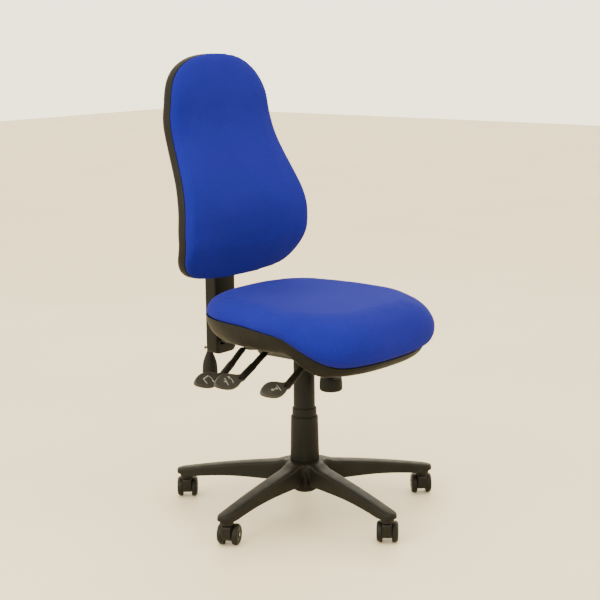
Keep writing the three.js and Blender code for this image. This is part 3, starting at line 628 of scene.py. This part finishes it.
def add_base():
    barrel = [(25.4, 56), (31, 56), (32.5, 57.5), (32.5, 66), (44, 68), (45.5, 70), (46, 114.5),
              (25.4, 114.5)]
    parts = [leg_skin(), turned("hub_barrel", barrel)]
    between = Matrix.Rotation(SECTOR, 4, "Z")
    for leg in range(LEG_COUNT):
        pieces = [block("web", (40, y - 1.5, 79), (70, y + 1.5, 116), 0.8) for y in (-21.1, 21.1)]
        for y in (-9, 0, 9):
            rib = block("hub_rib", (43, y - 1.2, 70), (50.5 - abs(y) * 0.1, y + 1.2, 115), 0.5)
            pieces.append(moved(rib, between))
        spine = []
        for x in (44, 90, 140, 190, 240, 275, CHANNEL_END):
            low, high = leg_bottom(x) + 7, leg_top(x) - 9
            spine.append([(x, -1.4, low), (x, 1.4, low), (x, 1.4, high), (x, -1.4, high)])
        pieces.append(loft("long_rib", spine))
        for x in (90, 130, 170, 210, 250, 290):
            half, low, high = leg_half(x) - 2, leg_bottom(x) + 7, leg_top(x) - 11
            pieces.append(block("cross_rib", (x - 1.2, -half, low), (x + 1.2, half, high), 0.4))
        socket = [(5.9, 56), (14, 56), (16.4, 57), (16.8, 59), (17.2, 73), (5.9, 73)]
        pieces.append(turned("collar", socket, (CASTOR_RADIUS, 0, 0), 48))
        parts += [moved(piece, leg_turn(leg)) for piece in pieces]
    fitted(join("star_base_moulding", parts), "base", "base_nylon", NYLON, "star_base")


# ---- castors

WHEEL_RADIUS = 26
WHEEL_WIDTH = 15
CASTOR_TRAIL = 18
BODY_HALF = 11
CASTOR_HEADINGS = [49, 39, 25, 33, 42]


def wheel(name):
    """A castor wheel with a dished side, from its inner face at 0 to its outer face at +Y."""
    r, w = WHEEL_RADIUS, WHEEL_WIDTH
    profile = [(4.4, 0.6), (8, 0.6), (9, 2.4), (19, 2.4), (20.5, 0.2), (r - 2.2, 0)]
    profile += arc((r - 2, 2), 2, -80, 0, 5)
    profile += arc((r - 8.5, w - 8.5), 8.5, 8, 62, 8)
    profile += [(20.2, w - 0.75), (18.8, w - 0.5), (17.6, w - 1.4), (9.6, w - 2.0), (8.4, w - 0.6),
                (6.6, w - 0.3), (4.4, w - 0.9)]
    return turned(name, profile, sides=64, sharp=50, axis="Y")


def hood():
    """The castor's body between the wheels, with its collar round the stem."""
    outline = catmull([(-13.5, 52), (-14.2, 40), (-12.5, 28), (-7, 18.5), (0, 14.5), (10, 12.8),
                       (24, 12.5), (36, 15.5), (43, 24), (42.5, 36), (34, 46), (22, 51.5), (12, 53.6),
                       (0, 54)], 5, True)
    loops = []
    for y, inset in ((-BODY_HALF, 0.8), (-BODY_HALF + 0.8, 0.2), (-BODY_HALF + 2, 0), (0, 0),
                     (BODY_HALF - 2, 0), (BODY_HALF - 0.8, 0.2), (BODY_HALF, 0.8)):
        q = 1 - inset / 22
        loops.append([(14 + (px - 14) * q, y, 33 + (pz - 33) * q) for px, pz in outline])
    body = loft("castor_hood", loops, 40)
    ring = [(5.9, 48), (10.4, 48), (10.4, 54.6), (9.8, 55.3), (5.9, 55.3)]
    return join("castor_hood", [body, turned("stem_collar", ring, sides=40)])


def add_castors():
    hood_mesh = hood()
    wheel_mesh = wheel("castor_wheel")
    for i, heading in enumerate(CASTOR_HEADINGS):
        n = i + 1
        foot = leg_turn(i) @ Vector((CASTOR_RADIUS, 0, 0))
        castor = Matrix.Translation(foot) @ Matrix.Rotation(radians(heading), 4, "Z")
        fitted(copied(hood_mesh, f"castor_hood_{n}", castor), f"castor_{n}", "castor_nylon", CASTOR,
               f"castor_body_{n}")
        for side, name in ((1, "left"), (-1, "right")):
            facing = Matrix.Rotation(0 if side == 1 else pi, 4, "Z")
            spot = Matrix.Translation((CASTOR_TRAIL, side * (BODY_HALF + 0.6), WHEEL_RADIUS))
            tread = copied(wheel_mesh, f"castor_tread_{name}_{n}", castor @ spot @ facing)
            fitted(tread, f"wheel_{name}_{n}", "castor_nylon", CASTOR, f"castor_wheel_{name}_{n}")
    for source in (hood_mesh, wheel_mesh):
        bpy.data.objects.remove(source)


def copied(source, name, matrix):
    return moved(placed(name, source.data.copy()), matrix)


# ---- column


def cover_profile(bottom, top, foot, mouth, wall):
    """A telescopic cover: a plain tube with a rounded lip at its mouth and a small bead at its foot."""
    outer = [(foot - 0.5, bottom), (foot, bottom + 1.2), (foot - (foot - mouth) * 0.97, top - 2.5)]
    lip = arc((mouth - 1.6, top - 1.6), 1.6, 0, 90, 6)
    return outer + lip + [(mouth - wall, top), (foot - wall, bottom)]


def add_column():
    lower = turned("cover_stage_lower", cover_profile(HUB_TOP + 0.1, 248, 37, 34.3, 2.5), sides=96)
    middle = turned("cover_stage_middle", cover_profile(170, 270, 30.7, 30.7, 2.3), sides=96)
    upper = [(27.4, 205), (27.6, 206), (26.6, 390), (25.8, 392), (14.4, 392), (14.4, 388), (24.7, 388),
             (25.45, 350), (25.6, 205)]
    upper = turned("cover_stage_upper", upper, sides=96)
    fitted(lower, "base", "moulded_plastic", COVER, "column_cover_lower")
    fitted(middle, "middle_cover", "moulded_plastic", COVER, "column_cover_middle")
    fitted(upper, "carrier", "moulded_plastic", COVER, "column_cover_upper")


# ---- mechanism and levers

KNOB_Y = -86


def add_knob():
    grip = [(0.01, 327), (20, 327)] + arc((22.5, 333), 6, -88, 0, 8)
    grip += [(28.5, 345), (27.2, 358.6), (26.4, 360), (12, 361.5), (9, 363), (5, 366), (5, 431.5),
             (0.01, 432)]
    knob = turned("tension_knob_grip", grip, (0, KNOB_Y, 0), 96, on_axis=True)
    fitted(knob, "tension_knob", "moulded_plastic", COVER, "tension_knob")


# Each lever's name, its y and z at the pivot, and the x and z of its arm's end.
LEVERS = [
    ("back_lever", 108, 416, -190, 372),
    ("tilt_lever", 35, 422, -197, 381),
    ("height_lever", -100, 428, -187, 380),
]
LEVER_START_X, LEVER_BEND_X, LEVER_BEND_Z = -50.5, -108, 425
ROD_RADIUS = 4
PADDLE_ROLL = radians(40)
# One side of a paddle's outline, from its root at the arm's end to the tip.
PADDLE_SIDE = [(6, 7.8), (-9.8, 11), (-29.4, 19.3), (-49, 23), (-66.6, 20.7), (-83.3, 13.8), (-95.1, 5.8)]
PADDLE_TIP_X, PADDLE_MIDDLE_X = -98, -48
PRINT_LEVELS = (2.75, 3)


def paddle(name):
    """A leaf-shaped paddle with a raised rim round a shallow recess."""
    other_side = [(x, -y) for x, y in PADDLE_SIDE[::-1]]
    outline = catmull(PADDLE_SIDE + [(PADDLE_TIP_X, 0)] + other_side, 6, True)
    levels = [(0.02, 2.8), (0.4, 2.8), (0.78, 2.8), (0.815, 2.9), (0.84, 3.9), (0.87, 4.4), (0.93, 4.4),
              (0.975, 3.5), (0.996, 1.8), (1.0, 0), (0.985, -2.2), (0.93, -3.8), (0.8, -4.5), (0.4, -4.8),
              (0.02, -4.8)]
    loops = [[(PADDLE_MIDDLE_X + q * (x - PADDLE_MIDDLE_X), q * y, z) for x, y in outline]
             for q, z in levels]
    return loft(name, loops, 60)


def stroke(points, width):
    """A printed line: the corners of a ribbon along each pair of points."""
    out = []
    for a, b in zip(points, points[1:]):
        a, b = Vector((*a, 0)), Vector((*b, 0))
        side = (b - a).normalized().cross(Vector((0, 0, 1))) * width / 2
        out.append([a + side, a - side, b - side, b + side])
    return out


def head(tip, direction, size=5):
    """A printed arrow head."""
    tip, way = Vector((*tip, 0)), Vector((*direction, 0)).normalized()
    side = way.cross(Vector((0, 0, 1))) * size * 0.6
    return [[tip, tip - way * size + side, tip - way * size - side]]


def pictogram(kind, name):
    """A generic symbol: arrows up and down, a tilting seat or a leaning back."""
    bend = [(-40 + 9 * cos(radians(a)), 9 * sin(radians(a)))
            for a in range(-50, 51, 20)]
    shapes = {
        "height_lever": stroke([(-28, -7), (-28, 7)], 1.6) + stroke([(-33, 0), (-47, 0)], 1.5)
        + head((-31, 0), (1, 0)) + head((-51, 0), (-1, 0)),
        "tilt_lever": stroke([(-50, -9), (-46, 9)], 1.8) + stroke(bend, 1.4)
        + head((-36, 11), (-0.8, 1)) + stroke([(-47, 0), (-54, 1.5)], 1.4),
        "back_lever": stroke([(-52, -8), (-52, 5), (-34, 9)], 1.8) + stroke(bend, 1.3)
        + head((-34, -10), (-0.6, -1)),
    }[kind]
    return join(name, [loft(name, [[(p.x, p.y, z) for p in corners] for z in PRINT_LEVELS], 30)
                       for corners in shapes])


def arm_loops(path, sizes, sides=32):
    """Oval rings across a path in the X-Z plane; each size is a half width and a half thickness."""
    loops = []
    last = len(path) - 1
    for i, (point, (wide, thick)) in enumerate(zip(path, sizes)):
        along = (Vector(path[min(i + 1, last)]) - Vector(path[max(i - 1, 0)])).normalized()
        up = Vector((-along.z, 0, along.x))
        loops.append([tuple(Vector(point) + up * (thick * s) + Vector((0, wide * c, 0)))
                      for c, s in circle(sides)])
    return loops


def add_lever(name, y, z, end_x, end_z):
    """A steel rod with a moulded sleeve and paddle, bent down round the seat plate's edge."""
    end = (end_x, 0, end_z - z)
    bend = (LEVER_BEND_X, 0, LEVER_BEND_Z - z)
    inner = (0.5 * (LEVER_START_X + bend[0]), 0, 0.6 * bend[2])
    mid = (0.5 * (bend[0] + end[0]), 0, 0.5 * (bend[2] + end[2]))
    path = catmull([(LEVER_START_X, 0, 0), inner, bend, mid, end], 12)
    rod = loft(f"{name}_bar", arm_loops(path, [(ROD_RADIUS, ROD_RADIUS)] * len(path), 20))
    sleeve_path = [p for p in path if p[0] < LEVER_BEND_X + 3]
    sleeve_path += [(end[0] - 8, 0, end[2] - 1), (end[0] - 16, 0, end[2] - 1.5)]
    last = len(sleeve_path) - 1
    sizes = []
    for i in range(last + 1):
        share = i / last
        grown = 1.3 * ease(share, 0.46, 0.51)
        ends = 1 - 0.42 * (1 - ease(share, 0, 0.06)) - 0.55 * ease(share, 0.9, 1)
        sizes.append(((8.6 + grown) * ends, (7.2 + grown) * ends))
    sleeve = loft(f"{name}_sleeve", arm_loops(sleeve_path, sizes), 40)
    turn = Matrix.Translation(end) @ Matrix.Rotation(PADDLE_ROLL, 4, "X")
    blade = moved(paddle(f"{name}_blade"), turn)
    mark = moved(pictogram(name, f"{name}_symbol"), turn @ Matrix.Diagonal((1.2, 1.2, 1, 1)))
    spot = Matrix.Translation((0, y, z))
    for piece in (rod, sleeve, blade, mark):
        moved(piece, spot)
    fitted(rod, name, "black_steel", BLACK_STEEL, f"{name}_rod")
    fitted(blade, name, "lever_plastic", LEVER, f"{name}_paddle")
    fitted(sleeve, name, "lever_plastic", COVER)
    fitted(mark, name, "lever_plastic", PRINT)


# ---- seat

SEAT_HALF_WIDTH, SEAT_FRONT, SEAT_REAR = 245, -285, 217
SEAT_TAPER = 0.05
SEAT_POINTS = 144
SEAT_RIM_Z, SEAT_CROWN_Z = 520, 560
SEAT_FLOOR_Z, SEAT_NOSE_Z = 457, 408
SEAT_MIDDLE = (SEAT_FRONT + SEAT_REAR) / 2
SEAT_HALF_DEPTH = (SEAT_REAR - SEAT_FRONT) / 2


def seat_rim(y):
    return SEAT_RIM_Z - 14 * ease(-y, -20, 160) - 70 * ease(-y, 110, 262)


def seat_floor(y):
    return SEAT_FLOOR_Z - (SEAT_FLOOR_Z - SEAT_NOSE_Z) * ease(-y, 110, 202)


def seat_top(x, y):
    dish = 7 * exp(-((x / 150) ** 2) - ((y - 20) / 130) ** 2)
    return SEAT_CROWN_Z + 4 * (1 - ease(-y, 0, 250)) + 0.042 * y - dish


def seat_loop(q, height, swell=0.0):
    """The seat's outline, a squared oval narrower at the back, scaled by q.

    It is let out by swell, from 0 at the shell's rim to 1 at the cushion's widest."""
    loop = []
    for i in range(SEAT_POINTS):
        angle = 2 * pi * (i + 0.5) / SEAT_POINTS
        c, s = cos(angle), sin(angle)
        power = 2 / (2.6 + 0.6 * swell if s < 0 else 2.8)
        v = copysign(abs(s) ** power, s)
        u = copysign(abs(c) ** power, c) * (1 - SEAT_TAPER * v)
        rim_y = SEAT_MIDDLE + SEAT_HALF_DEPTH * v
        side = 2 + 12 * ease(-rim_y, -40, 200)
        x = q * (SEAT_HALF_WIDTH + swell * side) * u
        y = SEAT_MIDDLE + q * (SEAT_HALF_DEPTH + (18 * swell if v < 0 else 0)) * v
        loop.append((x, y, height(x, y, rim_y)))
    return loop


def add_seat_shell():
    def depth(share, rise=0.0):
        return lambda x, y, rim_y: seat_rim(rim_y) - share * (seat_rim(rim_y) - seat_floor(y)) + rise

    def floor(rise):
        return lambda x, y, rim_y: seat_floor(y) + rise

    side = catmull([(1, 0.02), (0.985, 0.3), (0.955, 0.58), (0.91, 0.8), (0.85, 0.94), (0.79, 1)], 5)
    middle = (0.75, 0.7, 0.65, 0.6, 0.55, 0.45, 0.3, 0.15, 0.02)
    inner = [seat_loop(q, floor(3)) for q in middle[::-1]]
    inner += [seat_loop(q - 0.004 - 0.01 * (1 - share), depth(share, 3.2 * share))
              for q, share in side[::-1]]
    lip = [seat_loop(q, depth(0, rise)) for q, rise in ((0.987, 0.6), (0.991, 1.2), (0.997, 0.9))]
    outer = [seat_loop(q, depth(share)) for q, share in side] + [seat_loop(q, floor(0)) for q in middle]
    shell = loft("seat_pan", inner + lip + outer, 50)
    fitted(shell, "seat", "moulded_plastic", SHELL, "seat_shell")
    details = [screw((x, y, SEAT_FLOOR_Z), (0, 0, -1))
               for x, y in ((-140, 105), (140, 105), (-160, -60), (160, -60))]
    for x in (-172, -156, 156, 172):
        low, high = (x - 1.2, -90, SEAT_FLOOR_Z - 1.5), (x + 1.2, 70, SEAT_FLOOR_Z + 2)
        details.append(block("seat_rib", low, high, 0.4))
    fitted(join("seat_pan_details", details), "seat", "steel", BLACK_STEEL)


def screw(place, outward, radius=4.6):
    """A pan-head screw with a round recess, standing out of a face."""
    dome = [(0.01, -1), (radius, -1), (radius, 0.6)] + arc((radius - 1.2, 0.8), 1.2, 10, 80, 4)
    body = turned("screw", dome + [(1.8, 2.3), (1.4, 1.2), (0.01, 1.0)], sides=24, on_axis=True)
    turn = Vector((0, 0, 1)).rotation_difference(Vector(outward)).to_matrix().to_4x4()
    return moved(body, Matrix.Translation(place) @ turn)


# ---- cushions


VOXEL = 5
SWELL_LIMIT = 6
CLOTH_FRAMES = 20
PUCKER_DEPTH = 0.5
EVEN_SHARE, EVEN_ROUNDS = 0.88, 70


def inflated(obj, pinned, shrink):
    """Fills a cushion by cloth simulation, and evens its swelling out.

    pinned(x, y, z) says how firmly a point is held, from 0 to 1, and shrink is how far the free
    surface starts inside its outline, in millimetres."""
    remesh = obj.modifiers.new("voxels", "REMESH")
    remesh.mode = "VOXEL"
    remesh.voxel_size = VOXEL * MM
    relax = obj.modifiers.new("relax", "SMOOTH")
    relax.factor = 0.5
    relax.iterations = 6
    apply_modifiers(obj)
    mesh = obj.data
    done = coordinates(mesh)
    hold = np.array([pinned(*p) for p in (done - np.array(AXIS)) / MM])
    start = done - point_normals(mesh) * (shrink * MM * (1 - hold))[:, None]
    mesh.vertices.foreach_set("co", start.ravel())
    step = blown_up(obj, hold) - start
    length = np.linalg.norm(step, axis=1)[:, None]
    limit = SWELL_LIMIT * MM * (1 - hold)[:, None]
    step *= np.minimum(1, limit / np.maximum(length, 1e-9))
    done = start + (1 - EVEN_SHARE) * step + EVEN_SHARE * evened(mesh, step, EVEN_ROUNDS)
    mesh.vertices.foreach_set("co", done.ravel())
    mesh.update()
    for face in mesh.polygons:
        face.use_smooth = True


def blown_up(obj, hold):
    """The surface's points after its cloth has been simulated under pressure."""
    group = obj.vertex_groups.new(name="held")
    for i, weight in enumerate(hold):
        if weight > 0.01:
            group.add([i], float(weight), "REPLACE")
    cloth = obj.modifiers.new("cloth", "CLOTH")
    settings = cloth.settings
    settings.quality = 5
    settings.mass = 0.3
    settings.use_pressure = True
    settings.uniform_pressure_force = 4
    settings.effector_weights.gravity = 0
    settings.tension_stiffness = settings.compression_stiffness = 15
    settings.bending_stiffness = 2
    settings.vertex_group_mass = "held"
    cloth.point_cache.frame_start, cloth.point_cache.frame_end = 1, CLOTH_FRAMES
    for number in range(1, CLOTH_FRAMES + 1):
        SCENE.frame_set(number)
    graph = bpy.context.evaluated_depsgraph_get()
    points = coordinates(obj.evaluated_get(graph).data)
    obj.modifiers.clear()
    obj.vertex_groups.clear()
    SCENE.frame_set(1)
    return points


def point_normals(mesh):
    return np.array([v.normal for v in mesh.vertices])


def coordinates(mesh):
    co = np.zeros(len(mesh.vertices) * 3, np.float32)
    mesh.vertices.foreach_get("co", co)
    return co.reshape(-1, 3).astype(float)


def evened(mesh, field, rounds):
    """A vector field on a mesh's vertices, averaged with its neighbours again and again."""
    ends = np.zeros(len(mesh.edges) * 2, np.int32)
    mesh.edges.foreach_get("vertices", ends)
    ends = ends.reshape(-1, 2)
    here = np.concatenate((ends[:, 0], ends[:, 1]))
    there = np.concatenate((ends[:, 1], ends[:, 0]))
    count = len(field)
    neighbours = np.bincount(here, minlength=count)[:, None]
    for _ in range(rounds):
        total = np.stack([np.bincount(here, field[there, k], count) for k in range(3)], 1)
        field = 0.5 * field + 0.5 * total / neighbours
    return field


def pucker_seat(mesh):
    """Small pulls in the seat's cover where it is stretched over the rim, fading out above it."""
    co = coordinates(mesh)
    normals = point_normals(mesh)
    for i, (x, y, z) in enumerate((co - np.array(AXIS)) / MM):
        above = z - seat_rim(y)
        if above < 45:
            along = atan2(y - SEAT_MIDDLE, x) * 30
            wave = sin(along * 2.3) * sin(along * 0.9 + 1) + 0.5 * sin(along * 5.1 + 2)
            co[i] += normals[i] * (PUCKER_DEPTH * wave * exp(-max(0, above) / 14) * MM)
    mesh.vertices.foreach_set("co", co.ravel())
    mesh.update()


def upholstered(cushion, body, node):
    """Gives a cushion a finer surface and its fabric."""
    modifier = cushion.modifiers.new("subdivision", "SUBSURF")
    modifier.levels = modifier.render_levels = 1
    fitted(cushion, body, "blue_fabric", FABRIC, node)


def add_seat_cushion():
    def rim(rise):
        return lambda x, y, rim_y: seat_rim(rim_y) + rise

    def crown(share):
        return lambda x, y, rim_y: seat_rim(rim_y) + share * (seat_top(x, y) - seat_rim(rim_y))

    flat = [seat_loop(q, lambda x, y, rim_y: 471) for q in (0.05, 0.3, 0.6, 0.82)]
    sides = [seat_loop(0.9, rim(-8)), seat_loop(0.978, rim(0.6))]
    sides += [seat_loop(q, crown(share), swell) for q, share, swell in (
        (1, 0.07, 0.5), (1, 0.14, 0.8), (1, 0.25, 0.95), (1, 0.38, 1), (0.99, 0.52, 1), (0.97, 0.67, 1),
        (0.94, 0.79, 1), (0.9, 0.88, 1), (0.85, 0.94, 1), (0.78, 0.98, 1))]
    top = [seat_loop(q, crown(1), 1) for q in (0.7, 0.55, 0.4, 0.2, 0.05)]
    cushion = loft("seat_pad", flat + sides + top)

    def pinned(x, y, z):
        return 1 - ease(z - seat_rim(y), -2, 16)

    inflated(cushion, pinned, 1)
    pucker_seat(cushion.data)
    upholstered(cushion, "seat", "seat_cushion")


# ---- backrest

BACK_MIDDLE = 850
BACK_HALF = [(0, 590), (104, 593), (178, 607), (218, 645), (231, 708), (226, 772), (208, 850),
             (193, 930), (185, 1000), (170, 1067), (139, 1112), (82, 1142), (0, 1151)]
BACK_OUTLINE = catmull(BACK_HALF + [(-x, z) for x, z in BACK_HALF[1:-1][::-1]], 7, closed=True)


def back_rim(z):
    return (181 + 33 * (1 - ease(z, 590, 700)) + 87 * ease(z, 740, 1020)
            + 18 * ease(z, 1020, 1151))


def lumbar(z, spread):
    return exp(-(((z - 705) / spread) ** 2))


def inward(x):
    """How near a point is to the back's middle: 1 there and 0 at the sides."""
    return 1 - min(1, (x / 222) ** 2)


def board_front(x, z):
    return back_rim(z) + 9 + (12 + 28 * lumbar(z, 95)) * inward(x)


def shell_rear(x, z):
    return board_front(x, z) + 16


def back_loop(q, depth):
    """The back's outline scaled by q, at depth(x, z, rim_z)."""
    loop = []
    for px, pz in BACK_OUTLINE:
        x = q * px
        z = BACK_MIDDLE + q * (pz - BACK_MIDDLE)
        loop.append((x, depth(x, z, pz), z))
    return loop


def rim_depth(offset):
    return lambda x, z, rim_z: back_rim(rim_z) + offset


def rear_depth(offset):
    return lambda x, z, rim_z: shell_rear(x, z) + offset


def rim_loops(*steps):
    """The back's outline at each step's scale and distance behind the rim."""
    return [back_loop(q, rim_depth(offset)) for q, offset in steps]


def shell_outer(grow=0.0):
    """The rear shell's outer side, let out to the rear by grow."""
    edge = rim_loops((1, 2), (1, 12), (0.999, 18 + grow), (0.992, 23 + grow), (0.98, 26.5 + grow),
                     (0.962, 28.8 + grow))
    return edge + [back_loop(q, rear_depth(grow)) for q in (0.9, 0.8, 0.65, 0.5, 0.3, 0.15, 0.02)]


def add_back_shell():
    inner = [back_loop(q, rear_depth(-3)) for q in (0.02, 0.15, 0.3, 0.5, 0.65, 0.8, 0.89)]
    inner += rim_loops((0.95, 25), (0.975, 19), (0.985, 11), (0.987, 1), (0.99, 0), (0.997, 0))
    shell = loft("back_pan", inner + shell_outer(), 50)
    fitted(shell, "backrest", "moulded_plastic", SHELL, "back_shell")
    screws = [screw((x, shell_rear(x, z) - 0.4, z), (0, 1, 0), 5)
              for x, z in ((-120, 640), (120, 640), (-110, 900), (110, 900), (-90, 1070), (90, 1070))]
    screws += [screw((x, HOUSING_REAR - 0.2, z), (0, 1, 0), 4.5) for x in (-38, 38) for z in (622, 830)]
    fitted(join("back_pan_screws", screws), "backrest", "steel", BLACK_STEEL)


def add_back_cushion():
    def crown(share):
        def depth(x, z, rim_z):
            front = -27 + (7 + 15 * lumbar(z, 95)) * inward(x) - 15 * lumbar(z, 80) * inward(x)
            return share * (back_rim(z) + front) + (1 - share) * back_rim(rim_z)
        return depth

    rear = [back_loop(q, lambda x, z, rim_z: board_front(x, z) - 2.5) for q in (0.05, 0.3, 0.65, 0.88)]
    sides = rim_loops((0.98, 5), (0.984, 0.5), (0.998, -0.5), (1.004, -5), (1.003, -11))
    sides += [back_loop(q, crown(share))
              for q, share in ((0.99, 0.6), (0.97, 0.8), (0.94, 0.92), (0.89, 0.985))]
    front = [back_loop(q, crown(1)) for q in (0.82, 0.7, 0.55, 0.4, 0.2, 0.05)]
    cushion = loft("back_pad", rear + sides + front)

    def pinned(x, y, z):
        return ease(y - back_rim(z), -14, -3)

    inflated(cushion, pinned, 2)
    upholstered(cushion, "backrest", "back_cushion")


# ---- upright and its housing

UPRIGHT_HALF, UPRIGHT_FRONT, UPRIGHT_REAR = 39, 261, 299
UPRIGHT_BOTTOM, UPRIGHT_TOP = 375, 770
HOUSING_HALF, HOUSING_REAR, HOUSING_BOTTOM, HOUSING_TOP = 52, 324, 598, 850


def panel_loop(half, bottom, top, y, low_round, high_round):
    """A rectangle in the X-Z plane with round corners."""
    corners = [(half - low_round, bottom + low_round, low_round, -90, 0),
               (half - high_round, top - high_round, high_round, 0, 90),
               (-half + high_round, top - high_round, high_round, 90, 180),
               (-half + low_round, bottom + low_round, low_round, 180, 270)]
    loop = []
    for x, z, radius, start, end in corners:
        loop += [(px, y, pz) for px, pz in arc((x, z), radius, start, end, 7)]
    return loop


def rounded_slab(name, half, bottom, top, front, rear, edge, low_round, high_round):
    """A slab with round corners and round edges on its front and rear."""
    loops = []
    for k, degrees in enumerate((90, 60, 30, 0, 0, 30, 60, 90)):
        angle = radians(degrees)
        inset, inside = edge * (1 - cos(angle)), edge * (1 - sin(angle))
        y = front + inside if k < 4 else rear - inside
        loops.append(panel_loop(half - inset, bottom + inset, top - inset, y,
                                max(low_round - inset, 1), max(high_round - inset, 1)))
    return loft(name, loops, 35)


def add_upright():
    body = rounded_slab("upright_sleeve", UPRIGHT_HALF, UPRIGHT_BOTTOM, UPRIGHT_TOP, UPRIGHT_FRONT,
                        UPRIGHT_REAR, 5, 16, 6)
    cut(body, block("window", (-23, 100, 400), (23, 286.6, 421)))
    rear_panel = rounded_slab("upright_panel", 26, 395, 596, UPRIGHT_REAR - 3, UPRIGHT_REAR + 1.2,
                              1.1, 10, 4)
    screws = [screw((x, UPRIGHT_REAR + 1.0, 412), (0, 1, 0), 4) for x in (-14, 14)]
    fitted(join("upright_sleeve", [body, rear_panel]), "upright", "moulded_plastic", COVER, "upright_cover")
    fitted(join("upright_screws", screws), "upright", "steel", BLACK_STEEL)


def add_housing():
    outer = rounded_slab("slider_housing", HOUSING_HALF, HOUSING_BOTTOM, HOUSING_TOP, 180, HOUSING_REAR,
                         8, 10, 22)
    hollow = rounded_slab("hollow", HOUSING_HALF - 3, HOUSING_BOTTOM - 30, HOUSING_TOP - 4, 170,
                          HOUSING_REAR - 3, 5, 8, 18)
    cut(outer, hollow)
    ahead = [back_loop(1.3, lambda x, z, rim_z: 60), back_loop(1, rim_depth(-40))]
    envelope = loft("envelope", ahead + shell_outer(-1.0))
    cut(outer, envelope)
    ribs = [block("housing_rib", (-30, HOUSING_REAR - 1, z), (30, HOUSING_REAR + 1.1, z + 2.4), 0.7)
            for z in range(700, 775, 12)]
    fitted(join("slider_housing", [outer, *ribs]), "backrest", "moulded_plastic", SHELL, "back_housing")


# ---- carried-over CAD pieces

CAD_FINISHES = [
    (BLACK_STEEL, 1.2, ["column_tube", "mechanism_chassis", "seat_plate", "back_bar"]),
    (STEEL, 0.4, ["pressure_cylinder", "piston_rod", "release_pin", "seat_pivot_axle", "back_pivot_axle",
                  "tension_spring"]),
    (STEEL, 0.4, [f"castor_{part}_{n}" for part in ("stem", "axle") for n in range(1, 6)]),
    (SHELL, 1.0, ["guide_bush", "height_slider"]),
    (RUBBER, 0.8, ["lumbar_bladder"]),
    (PLY, 0.8, ["seat_board", "back_board"]),
]


def finish_cad_pieces():
    for material, edge, names in CAD_FINISHES:
        for name in names:
            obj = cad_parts[name]
            painted(obj, material)
            bevel(obj, edge)


# ---- stage


def add_stage():
    size = 12.0
    mesh = bpy.data.meshes.new("floor")
    corners = [(-size, -size, 0), (size, -size, 0), (size, size, 0), (-size, size, 0)]
    mesh.from_pydata(corners, [], [(0, 1, 2, 3)])
    mesh.materials.append(floor_material())
    placed("floor", mesh)

    world = bpy.data.worlds.new("studio")
    world.use_nodes = True
    background = world.node_tree.nodes["Background"]
    background.inputs["Color"].default_value = rgb(1.0, 0.9, 0.66)
    background.inputs["Strength"].default_value = 3.4
    SCENE.world = world

    add_light("overhead", (-0.6, -0.6, 3.4), (0, 0, 0.4), 2.6, 60)
    add_light("left_fill", (-3.2, 0.4, 1.9), (0, 0, 0.6), 2.0, 85)
    add_light("right_rim", (2.6, 1.6, 2.2), (0, 0, 0.6), 1.6, 20)


def add_light(name, place, target, size, power):
    light = bpy.data.lights.new(name, "AREA")
    light.shape = "DISK"
    light.size = size
    light.energy = power
    light.color = (1.0, 0.97, 0.92)
    obj = placed(name, light)
    obj.location = place
    obj.rotation_euler = (Vector(target) - Vector(place)).to_track_quat("-Z", "Y").to_euler()


add_camera()
add_pump()
add_base()
add_castors()
add_column()
add_knob()
for lever in LEVERS:
    add_lever(*lever)
add_seat_shell()
add_seat_cushion()
add_back_shell()
add_back_cushion()
add_upright()
add_housing()
finish_cad_pieces()
add_stage()
